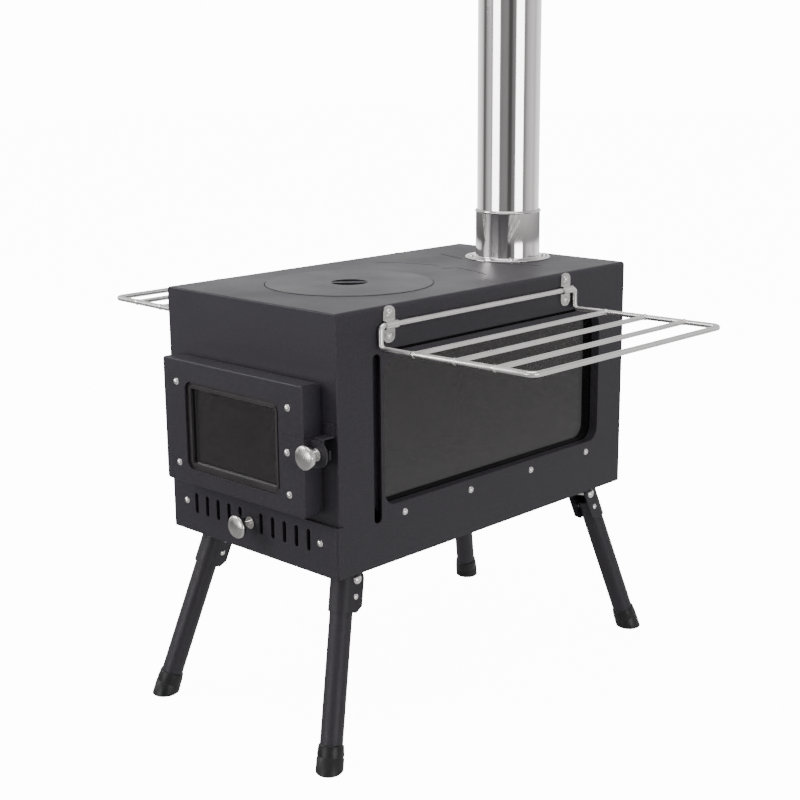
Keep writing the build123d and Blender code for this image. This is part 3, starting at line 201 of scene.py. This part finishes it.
top_z = 390 * mm
flue_y = 149 * mm
collar_r = 32.4 * mm
collar_wall = 1.0 * mm
collar_h = 49 * mm
bead_r = 0.9 * mm
flange_r = 43 * mm
flange_t = 1.2 * mm
root_r = 1.6 * mm
bead_z = collar_h - 1.6 * mm
flue_hole_r = 29 * mm
collar_profile = [
    (flue_hole_r, 0),
    (flange_r - 0.3 * mm, 0),
    *arc(0.6 * mm, -80, 80, (flange_r - 0.6 * mm, 0.6 * mm), 7),
    *arc(root_r, 270, 180, (collar_r + root_r, flange_t + root_r), 7),
    (collar_r, bead_z - 1.5 * mm),
    *arc(bead_r, -80, 80, (collar_r, bead_z), 9),
    (collar_r, collar_h - 0.2 * mm),
    (collar_r - 0.2 * mm, collar_h),
    (collar_r - collar_wall, collar_h),
    (collar_r - collar_wall, flange_t),
    (flue_hole_r, flange_t),
]
collar = skin(
    "flue_collar_dressed",
    [turned(collar_profile, (0, flue_y, top_z), (0, 0, 1), 160)],
    stainless,
    True,
    True,
)
dress(collar, "stove_body", "polished_stainless", "flue_collar")

pipe_r = 31.1 * mm
pipe_wall = 0.8 * mm
pipe_length = 340 * mm
pipe_bead = pipe_length - 12 * mm
pipe_profile = [
    (pipe_r - 0.15 * mm, 0),
    (pipe_r, 0.15 * mm),
    (pipe_r, pipe_length * 0.3),
    (pipe_r, pipe_length * 0.6),
    (pipe_r, pipe_bead - 2 * mm),
    *arc(0.5 * mm, -70, 70, (pipe_r - 0.2 * mm, pipe_bead), 7),
    (pipe_r, pipe_bead + 2 * mm),
    (pipe_r, pipe_length - 0.2 * mm),
    (pipe_r - 0.2 * mm, pipe_length),
    (pipe_r - pipe_wall, pipe_length),
    (pipe_r - pipe_wall, 0),
]
pipe_points = turned(pipe_profile, (0, flue_y, top_z + flange_t), (0, 0, 1), 192)
pipe = skin("flue_pipe_dressed", [pipe_points], stainless, True, True)
dress(pipe, "flue", "polished_stainless", "flue_pipe")


def dome(radius, height, steps=9):
    """Half the section of a domed head: a spherical cap over a short upright edge."""
    ball = (radius ** 2 + height ** 2) / (2 * height)
    lean = np.linspace(math.asin(min(radius / ball, 1)), 0, steps)
    cap = [(ball * math.sin(a), height - ball + ball * math.cos(a)) for a in lean]
    return [(0, -0.3 * mm), (radius, -0.3 * mm), *cap]


# Rivets, screws and clips: satin stainless with a fine grain.
satin, tree, shader = surface("satin_stainless", {"Metallic": 1.0})
fine, broad = grain(tree, shader, 0.4 * mm, 0.006 * mm, 0.15, 0.26, patch=25 * mm)
tinted(tree, shader, broad, "E0DEDC", "EAE8E7")


def studs(name, body, node, seats, outward, head_r=3.25 * mm, head_h=1.9 * mm):
    """Domed heads on their seats, all of one node, facing the same way."""
    shapes = [turned(dome(head_r, head_h), seat, outward, 28) for seat in seats]
    piece = skin(name, shapes, satin, False, True)
    return dress(piece, body, "satin_stainless", node)


screw_circle = 37.5 * mm
quarter = np.radians([45, 135, 225, 315])
screw_seats = [
    (screw_circle * math.cos(a), flue_y + screw_circle * math.sin(a), top_z + flange_t)
    for a in quarter
]
studs("flue_screw_heads", "stove_body", "flue_screws", screw_seats, (0, 0, 1), 3.5 * mm, 2.2 * mm)

# Door: a pressed pan with the same coat, a lens ring with a rolled edge behind its window, dark
# heat-proof glass held by a plate, and a glass-fibre rope that seals on the collar.
paint(coat, "door_shell", "door_glass_retainer", "latch_strap")
paint(coat, "door_hinge_leaves_door", "door_hinge_leaves_fixed")

# the lens ring's own coat is smoother and catches the light along its lip
ring_coat, tree, shader = surface("lens_ring_coat", {"Specular IOR Level": 0.6})
fine, broad = grain(tree, shader, 0.7 * mm, 0.02 * mm, 0.32, 0.4, patch=30 * mm)
tinted(tree, shader, broad, "2A2829", "312E2F")
paint(ring_coat, "door_lens_ring")

# heat-proof glass, smoked so dark that the firebox hardly shows, with a clear polished face
glass, tree, shader = surface(
    "smoked_glass_ceramic",
    {
        "Base Color": linear("2B2829"),
        "Transmission Weight": 0.8,
        "IOR": 1.54,
        "Coat Weight": 0.25,
        "Coat Roughness": 0.02,
    },
)
grain(tree, shader, 30 * mm, 0.002 * mm, 0.01, 0.05, patch=70 * mm)
paint(glass, "door_glass", "side_glass")

# woven glass fibre, charcoal grey and quite dull: the tapes under the glass and the door's rope
tape, tree, shader = surface("glass_fibre_tape", {"Specular IOR Level": 0.2})
fine, broad = grain(tree, shader, 0.8 * mm, 0.2 * mm, 0.8, 0.95, patch=12 * mm)
tinted(tree, shader, fine, "2A2A2A", "484644")
paint(tape, "door_glass_tape", "side_glass_tape")


def rounded_loop(half_x, half_z, corner, steps=10):
    """A rounded rectangle as a closed line of (x, z) points: four quarter arcs joined up."""
    points = []
    for number, (x, z) in enumerate(((1, 1), (-1, 1), (-1, -1), (1, -1))):
        middle = (x * (half_x - corner), z * (half_z - corner))
        points += arc(corner, 90 * number, 90 * number + 90, middle, steps)
    return np.array(points)


rope_low, rope_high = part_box("door_rope_seal")
rope_r = 3.5 * mm
rope_corner = 6 * mm
rope_mid = (rope_low + rope_high) / 2
rope_half = (rope_high - rope_low) / 2
rope_line = rounded_loop(rope_half.x - rope_r, rope_half.z - rope_r, rope_corner, 12)
level = np.full(len(rope_line), rope_mid.y)
centre_line = np.stack([rope_mid.x + rope_line[:, 0], level, rope_mid.z + rope_line[:, 1]], -1)
ahead = np.roll(centre_line, -1, 0) - np.roll(centre_line, 1, 0)
ahead /= np.linalg.norm(ahead, axis=1)[:, None]
sideways = np.cross(ahead, (0, 1, 0))
rope_turn = np.linspace(0, 2 * math.pi, 20, endpoint=False)
rope_points = centre_line[:, None] + rope_r * (
    np.cos(rope_turn)[None, :, None] * sideways[:, None]
    + np.sin(rope_turn)[None, :, None] * np.array((0, 1.0, 0))
)
rope = skin("door_rope_dressed", [rope_points], tape, True, True)
dress(rope, "door", "glass_fibre", "door_rope_seal")

door_face = -219 * mm
strap_t = 1.5 * mm
rivet_x = 73.6 * mm
rivet_low_z = 237 * mm
rivet_high_z = 311.3 * mm
door_seats = [(x, door_face, z) for x in (-rivet_x, rivet_x) for z in (rivet_low_z, rivet_high_z)]
door_seats.append((rivet_x, door_face - strap_t, 273.7 * mm))
studs("door_rivet_heads", "door", "door_rivets", door_seats, (0, -1, 0))

# Hinge pins, leg brackets and latch cam: black-oxide steel, a little glossier than the coat. The
# pins run through the hinge leaves, the brackets are fixed under the box in pairs, and the cam
# sits on the latch knob's stem.
oxide, tree, shader = surface("black_oxide_steel", {"Metallic": 0.7})
fine, broad = grain(tree, shader, 0.6 * mm, 0.01 * mm, 0.32, 0.45, patch=15 * mm)
tinted(tree, shader, broad, "343436", "3E3E40")
paint(oxide, "door_hinge_pins", "leg_hinge_brackets", "latch_cam")


# Knobs on the latch and the air slider: turned from stainless bar, a mushroom head with a
# rounded rim and a low crown, a waisted neck and a washer behind it. The latch's keeper is
# coated sheet, bent into a hook and fixed to the front panel.
def knob_profile(out, stem_r, back):
    """Half the section of a mushroom knob, from the end of its stem to the crown: the waist
    swells with the cube of its height, the rim is an arc and the crown is a parabola."""
    r, head, rim_r = 10.5 * mm, 8 * mm, 2.2 * mm
    crown = out + head
    lip = arc(rim_r, -15, 70, (r - rim_r, out + head * 0.55), 10)
    edge, rim = lip[-1]
    cap = [(edge * s, crown - (crown - rim) * s ** 2) for s in np.linspace(0.9, 0, 10)]
    steps = np.linspace(0, 1, 7)
    waist = [(stem_r + 1.2 * mm * t ** 3, 1.2 * mm + (out - 4.2 * mm) * t) for t in steps]
    return [
        (0, -back),
        (stem_r, -back),
        (stem_r, 0),
        (5.3 * mm, 0),
        (5.5 * mm, 0.2 * mm),
        (5.5 * mm, 0.8 * mm),
        (5.3 * mm, 1.0 * mm),
        *waist,
        (stem_r + 1.6 * mm, out - 2.4 * mm),
        (r - 1.4 * mm, out + head * 0.16),
        (r - 0.3 * mm, out + head * 0.24),
        (r, out + head * 0.32),
        *lip,
        *cap,
    ]


# turned stainless, drawn with a fine even grain in place of the lathe's rings
bright, tree, shader = surface("turned_stainless", {"Metallic": 1.0})
fine, broad = grain(tree, shader, 0.3 * mm, 0.01 * mm, 0.2, 0.3, patch=10 * mm)
tinted(tree, shader, broad, "CBC8C6", "DAD8D6")
latch_x, latch_z, latch_back = 102 * mm, 276 * mm, -213.8 * mm
latch_profile = knob_profile(8.5 * mm, 3 * mm, 7.8 * mm)
latch_points = turned(latch_profile, (latch_x, latch_back, latch_z), (0, -1, 0), 72)
latch_knob = skin("latch_knob_dressed", [latch_points], bright, False, True)
dress(latch_knob, "door_latch", "satin_stainless", "latch_knob")
paint(coat, "latch_keeper")

# Air control: the coated panel wrapped round the front corners, a thin slider behind its ten
# slots and a second mushroom knob.
paint(coat, "vent_panel", "vent_slider")
vent_face = -200.5 * mm
vent_profile = knob_profile(11 * mm, 2 * mm, 3.3 * mm)
vent_z = 192 * mm
vent_points = turned(vent_profile, (0, vent_face - 0.3 * mm, vent_z), (0, -1, 0), 72)
vent_knob = skin("vent_knob_dressed", [vent_points], bright, False, True)
dress(vent_knob, "air_slider", "satin_stainless", "vent_knob")
vent_seats = [(side * 89.5 * mm, vent_face, 193.7 * mm) for side in (-1, 1)]
studs("vent_rivet_heads", "stove_body", "vent_rivets", vent_seats, (0, -1, 0))

# Side glass: a coated sleeve and two rails hold the same dark glass, and four rivets go through
# the wall below it.
paint(coat, "side_glass_frame", "side_glass_rails")
wall = 110 * mm
side_seats = [(wall, (-118.4 + 86.4 * i) * mm, 206.5 * mm) for i in range(4)]
studs("side_rivet_heads", "stove_body", "side_window_rivets", side_seats, (1, 0, 0))


# Wire racks: 5 mm stainless wire bent round and welded, hung in saddle clips that are riveted
# to the wall. The welds show as small fillets where the bars meet the frame.
def bent(corners, radii):
    """A line through corners, each rounded by its radius: the arc's middle lies on the line that
    halves the corner, and its points turn evenly from where it leaves one side to the other."""
    corners = [np.array(c, float) for c in corners]
    line = [corners[0]]
    for before, here, after, radius in zip(corners, corners[1:], corners[2:], radii):
        back, on = before - here, after - here
        back, on = back / np.linalg.norm(back), on / np.linalg.norm(on)
        half = math.acos(np.clip(back @ on, -1, 1)) / 2
        middle = here + (back + on) / np.linalg.norm(back + on) * radius / math.sin(half)
        start = here + back * radius / math.tan(half)
        end = here + on * radius / math.tan(half)
        a, b = (start - middle) / radius, (end - middle) / radius
        turn = math.acos(np.clip(a @ b, -1, 1))
        for t in np.linspace(0, 1, 9):
            mix = (math.sin((1 - t) * turn) * a + math.sin(t * turn) * b) / math.sin(turn)
            line.append(middle + radius * mix)
    line.append(corners[-1])
    return np.array(line)


def wire(line, radius, sides=20):
    """A round wire: circles about each point of the line, square to it and not twisted against
    the one before, with both ends closed by small domes."""
    ahead = np.gradient(line, axis=0)
    ahead /= np.linalg.norm(ahead, axis=1)[:, None]
    side = np.cross(ahead[0], (0.3, 0.2, 0.9))
    sides_at = []
    for direction in ahead:
        side = side - direction * (side @ direction)
        side = side / np.linalg.norm(side)
        sides_at.append(side)
    sides_at = np.array(sides_at)
    ups = np.cross(ahead, sides_at)
    turn = np.linspace(0, 2 * math.pi, sides, endpoint=False)
    across, along = np.cos(turn)[None, :, None], np.sin(turn)[None, :, None]
    ring = across * sides_at[:, None] + along * ups[:, None]
    body = line[:, None] + radius * ring
    caps = []
    for end, way in ((0, -1), (-1, 1)):
        lean = np.radians([0, 30, 60, 90])
        rise = line[end] + way * ahead[end] * (radius * 0.5 * np.sin(lean))[:, None]
        caps.append(rise[:, None] + (radius * np.cos(lean))[:, None, None] * ring[end][None])
    return np.vstack([caps[0][::-1], body, caps[1]])


# drawn stainless wire, pale and satin
wire_stainless, tree, shader = surface("drawn_stainless_wire", {"Metallic": 1.0})
fine, broad = grain(tree, shader, 0.5 * mm, 0.006 * mm, 0.22, 0.34, patch=20 * mm)
tinted(tree, shader, broad, "E6E4E2", "EFEDEC")
wire_r = 2.5 * mm
hinge_z = 374 * mm
hinge_x = wall + 0.3 * mm + wire_r
rack_z = hinge_z - 19 * mm
rack_x = wall + 158.5 * mm
clip_y = (-137.2 * mm, 101.3 * mm)
end_off = 7 * mm + 4.5 * mm + 0.3 * mm
rack_y = (clip_y[0] - end_off, clip_y[1] + end_off)
flare = (7 * mm, 8 * mm)
bar_reach = (38 * mm, 80.6 * mm, 121 * mm)
clip_t = 1.2 * mm
clip_rivet = 9.8 * mm
weld_low = [(0, -2.2 * mm), (2.7 * mm, -1.6 * mm)]
weld_half = [*weld_low, (3.1 * mm, 0), (2.7 * mm, 1.6 * mm), (0, 2.2 * mm)]
for side_name, side in (("right", 1), ("left", -1)):
    outline = [
        (side * hinge_x, clip_y[0], hinge_z),
        (side * hinge_x, rack_y[0], hinge_z),
        (side * hinge_x, rack_y[0], rack_z),
        (side * rack_x, rack_y[0] + flare[0], rack_z),
        (side * rack_x, rack_y[1] + flare[1], rack_z),
        (side * hinge_x, rack_y[1], rack_z),
        (side * hinge_x, rack_y[1], hinge_z),
        (side * hinge_x, clip_y[1], hinge_z),
    ]
    bends = [4.5 * mm, 4.5 * mm, 8 * mm, 8 * mm, 4.5 * mm, 4.5 * mm]
    wires = [wire(bent(outline, bends), wire_r)]
    pin_ends = [(side * hinge_x, y, hinge_z) for y in clip_y]
    wires.append(wire(np.linspace(*pin_ends, 12), wire_r))
    for reach in bar_reach:
        share = (wall + reach - hinge_x) / (rack_x - hinge_x)
        ends = [(side * (wall + reach), rack_y[i] + flare[i] * share, rack_z) for i in (0, 1)]
        wires.append(wire(np.linspace(*ends, 12), wire_r * 0.9))
        wires += [turned(weld_half, end, (1, 0, 0), 16) for end in ends]
    rack = skin("rack_wires_" + side_name, wires, wire_stainless, False, True)
    dress(rack, side_name + "_rack", "satin_stainless", "rack_" + side_name)
    paint(satin, "rack_clips_" + side_name)
    clip_face = side * (wall + clip_t)
    seats = [(clip_face, y, hinge_z + way * clip_rivet) for y in clip_y for way in (-1, 1)]
    heads, rivets = "rack_rivet_heads_" + side_name, "rack_rivets_" + side_name
    studs(heads, "stove_body", rivets, seats, (side, 0, 0))

# Legs: a folded sheet knuckle on a pivot bolt, a coated tube, a cross pin and a rubber foot cut
# level where it stands. Each is made upright about its pivot and then placed.
# the feet: black rubber with the slight shine of the mould
rubber, tree, shader = surface("moulded_rubber", {"Specular IOR Level": 0.35})
fine, broad = grain(tree, shader, 1.5 * mm, 0.03 * mm, 0.34, 0.48, patch=18 * mm)
tinted(tree, shader, broad, "161617", "1C1C1D")
# the same black coat as the box's, a little duller on the tubes
leg_coat, tree, shader = surface("leg_powder_coat", {"Specular IOR Level": 0.32})
fine, broad = grain(tree, shader, 0.9 * mm, 0.05 * mm, 0.42, 0.52, patch=30 * mm)
tinted(tree, shader, fine, "28262C", "332F36")
splay = np.array((28.0, 48.0, 159.0))
pivot_z = 153 * mm
inboard = 5.5 * mm
foot_at = np.array((114 * mm, 218 * mm, 0))
tube_r = 10 * mm
tube_wall = 1.5 * mm
tube_top = -9.5 * mm
foot_r = 12 * mm
foot_h = 23 * mm
pin_drop = 15 * mm
pin_r, pin_half = 2 * mm, 11.4 * mm
bolt_r, bolt_half = 2.5 * mm, 11.7 * mm


def leg_directions(side_x, side_y):
    """The leg's pivot, outward and up directions. Up is the splay, pivot is square to it with no
    part along the box, and outward is their cross product, turned away from the box."""
    up = np.array((-splay[0] * side_x, -splay[1] * side_y, splay[2])) / np.linalg.norm(splay)
    pivot = np.array((splay[2] * side_x, 0, splay[0])) / math.hypot(splay[0], splay[2])
    outward = np.cross(up, pivot)
    outward = outward * (1 if outward[1] * side_y > 0 else -1)
    return pivot, outward, up


bolt_heads = []
for leg_name, side_x, side_y in (
    ("front_left", -1, -1),
    ("front_right", 1, -1),
    ("rear_left", -1, 1),
    ("rear_right", 1, 1),
):
    pivot, outward, up = leg_directions(side_x, side_y)
    leg_length = (pivot_z + inboard * outward[2]) / up[2]
    foot = foot_at * (side_x, side_y, 1)
    joint = foot + up * leg_length - outward * inboard
    axis_point = joint + outward * inboard
    body = "leg_" + leg_name
    low = -leg_length + 8 * mm
    tube_profile = [
        (tube_r - tube_wall, low),
        (tube_r, low),
        (tube_r, tube_top - 0.3 * mm),
        (tube_r - 0.3 * mm, tube_top),
        (tube_r - tube_wall, tube_top),
    ]
    tube_points = turned(tube_profile, axis_point, up, 56)
    tube = skin("leg_tube_dressed_" + leg_name, [tube_points], leg_coat, True, True)
    dress(tube, body, "black_coat", "leg_tube_" + leg_name)
    sole = -leg_length
    foot_profile = [
        (0, sole + 0.1 * mm),
        (foot_r - 1.2 * mm, sole + 0.1 * mm),
        (foot_r, sole + 1.2 * mm),
        (foot_r, sole + 11 * mm),
        (foot_r - 0.5 * mm, sole + 12 * mm),
        (foot_r - 0.5 * mm, sole + 13 * mm),
        (foot_r - 0.15 * mm, sole + 14 * mm),
        (foot_r - 0.9 * mm, sole + foot_h - 1 * mm),
        *arc(0.9 * mm, 0, 90, (foot_r - 1.9 * mm, sole + foot_h - 0.9 * mm), 5),
        (tube_r - 0.2 * mm, sole + foot_h),
        (0, sole + foot_h - 0.5 * mm),
    ]
    foot_points = turned(foot_profile, axis_point, up, 64)
    # the lowest rings slide along the leg until they stand on the ground
    for ring, level in ((0, 0), (1, 0), (2, 1.1 * mm)):
        drop = (foot_points[ring, :, 2] - level) / up[2]
        foot_points[ring] -= drop[:, None] * up
    rubber_foot = skin("leg_foot_dressed_" + leg_name, [foot_points], rubber, False, True)
    dress(rubber_foot, body, "rubber", "leg_foot_" + leg_name)
    paint(leg_coat, "leg_knuckle_" + leg_name)
    pin_at = joint - up * pin_drop
    pins = [
        turned(dome(2.7 * mm, 1.2 * mm), pin_at + way * pivot * 11.5 * mm, way * pivot, 24)
        for way in (-1, 1)
    ]
    shank = [(0, -pin_half), (pin_r, -pin_half), (pin_r, pin_half), (0, pin_half)]
    pins.append(turned(shank, pin_at, pivot, 24))
    pin = skin("leg_pin_dressed_" + leg_name, pins, satin, False, True)
    dress(pin, body, "satin_stainless", "leg_cross_pin_" + leg_name)
    bolt_heads += [
        turned(dome(4.6 * mm, 2.4 * mm), joint + way * pivot * 11.8 * mm, way * pivot, 32)
        for way in (-1, 1)
    ]
    shank = [(0, -bolt_half), (bolt_r, -bolt_half), (bolt_r, bolt_half), (0, bolt_half)]
    bolt_heads.append(turned(shank, joint, pivot, 24))
bolts = skin("leg_pivot_bolts_dressed", bolt_heads, satin, False, True)
dress(bolts, "stove_body", "satin_stainless", "leg_pivot_bolts")

# Floor, light and camera. A pale floor that the metal doesn't mirror, white walls with two soft
# boxes either side of the camera, and a dim gap between them, as in a product studio.
floor_mesh = bpy.data.meshes.new("floor")
far = 12.0
floor_corners = [(-far, -far, 0), (far, -far, 0), (far, far, 0), (-far, far, 0)]
floor_mesh.from_pydata(floor_corners, [], [(0, 1, 2, 3)])
floor = bpy.data.objects.new("floor", floor_mesh)
bpy.context.scene.collection.objects.link(floor)
floor.location.z = -0.2 * mm
pale, tree, shader = surface(
    "pale_floor",
    {
        "Base Color": (0.93, 0.93, 0.93, 1),
        "Roughness": 0.9,
        "Specular IOR Level": 0.1,
        "Emission Color": (1, 1, 1, 1),
        "Emission Strength": 13.0,
    },
)
floor_mesh.materials.append(pale)
floor.visible_glossy = False
floor.visible_diffuse = False

camera_at = (928.7 * mm, -971.4 * mm, 591.5 * mm)
camera_turn = math.radians(44.01)
camera_pitch = math.radians(13.58)
camera_roll = math.radians(-0.467)
lens = bpy.data.cameras.new("photo_camera")
lens.sensor_width = 36.0
lens.lens = 64.46
camera = bpy.data.objects.new("photo_camera", lens)
bpy.context.scene.collection.objects.link(camera)
turn = Matrix.Rotation(camera_turn, 4, "Z") @ Matrix.Rotation(math.pi / 2 - camera_pitch, 4, "X")
camera.matrix_world = Matrix.Translation(camera_at) @ turn @ Matrix.Rotation(camera_roll, 4, "Z")
bpy.context.scene.camera = camera

# The studio round the object, as the flue mirrors it: in a belt near the horizon, how bright
# each direction is, counted from the one that faces the camera. Below the belt it is dim.
studio = [
    (-180, 2.4), (-151, 3.0), (-129, 2.1), (-114, 1.4), (-107, 0.7), (-103, 0.22), (-95, 0.21),
    (-86, 0.72), (-72, 1.1), (-61.5, 0.75), (-60, 12), (-35.5, 12), (-34, 0.6), (-27, 0.34),
    (-19, 0.4), (-7, 0.4), (-2, 0.25), (1.5, 0.125), (10, 0.14), (13, 0.3), (25, 0.45),
    (27.5, 12), (53.5, 12), (55.5, 0.42), (63, 0.47), (74, 0.95), (93, 1.3), (110, 1.1),
    (120, 1.7), (159, 2.6), (180, 2.4),
]
camera_side = math.radians(-50.3)
world = bpy.data.worlds.new("studio")
bpy.context.scene.world = world
world.use_nodes = True
tree = world.node_tree
tree.nodes.clear()
way = add(tree, "ShaderNodeTexCoord").outputs["Generated"]
turned_way = add(tree, "ShaderNodeMapping", {"Vector": way, "Rotation": (0, 0, -camera_side)})
split = add(tree, "ShaderNodeSeparateXYZ", {"Vector": turned_way.outputs["Vector"]})
rise_run = {0: split.outputs["Y"], 1: split.outputs["X"]}
angle = add(tree, "ShaderNodeMath", rise_run, operation="ARCTAN2")
whole_turn = {"From Min": -math.pi, "From Max": math.pi}
place = add(tree, "ShaderNodeMapRange", {"Value": angle.outputs[0], **whole_turn})
ramp = add(tree, "ShaderNodeValToRGB", {"Fac": place.outputs["Result"]})
stops = ramp.color_ramp.elements
strongest = max(light for degree, light in studio)
stops[0].color = stops[1].color = [studio[0][1] / strongest] * 3 + [1]
for degree, light in studio[1:-1]:
    stops.new((degree + 180) / 360).color = [light / strongest] * 3 + [1]


def run(source, low, high, start, end):
    """A value that runs evenly from start to end as the source goes from low to high."""
    limits = {"Value": source, "From Min": low, "From Max": high, "To Min": start, "To Max": end}
    return add(tree, "ShaderNodeMapRange", limits).outputs["Result"]


belt = add(tree, "ShaderNodeMath", {0: ramp.outputs["Color"], 1: strongest}, operation="MULTIPLY")
behind = run(split.outputs["X"], -1.0, 0.6, 1.3, 0.9)
high_up = run(split.outputs["Z"], 0.35, 0.7, 0, 1)
above = add(tree, "ShaderNodeMix", {"Factor": high_up, 2: behind, 3: 0.7})
in_belt = run(split.outputs["Z"], 0.06, 0.1, 0, 1)
upper = add(tree, "ShaderNodeMix", {"Factor": in_belt, 2: belt.outputs[0], 3: above.outputs[0]})
under = run(split.outputs["Z"], -0.135, -0.115, 0, 1)
sideways = run(split.outputs["Y"], -1.0, 1.0, 0.26, 0.72)
toward_floor = run(split.outputs["Z"], -0.4, -0.15, 1.6, 0.7)
dim = add(tree, "ShaderNodeMath", {0: sideways, 1: toward_floor}, operation="MULTIPLY")
walls = add(tree, "ShaderNodeMix", {"Factor": under, 2: dim.outputs[0], 3: upper.outputs[0]})
lit = add(tree, "ShaderNodeBackground", {"Strength": walls.outputs[0]})
seen = add(tree, "ShaderNodeBackground", {"Color": (1, 1, 1, 1), "Strength": 14.0})
path = add(tree, "ShaderNodeLightPath")
both = {0: path.outputs["Is Camera Ray"], 1: lit.outputs[0], 2: seen.outputs[0]}
shown = add(tree, "ShaderNodeMixShader", both)
add(tree, "ShaderNodeOutputWorld", {"Surface": shown.outputs[0]})


def soft_box(name, place, aim, size, power):
    """A square area light that faces the aim."""
    data = bpy.data.lights.new(name, "AREA")
    data.size = size
    data.energy = power
    box = bpy.data.objects.new(name, data)
    bpy.context.scene.collection.objects.link(box)
    box.location = place
    box.rotation_euler = (Vector(aim) - Vector(place)).to_track_quat("-Z", "Y").to_euler()


soft_box("overhead_box", (0.2, -0.3, 2.2), (0, 0, 0.3), 1.6, 22)
soft_box("left_box", (-1.5, -1.6, 1.2), (0, 0, 0.3), 0.9, 26)
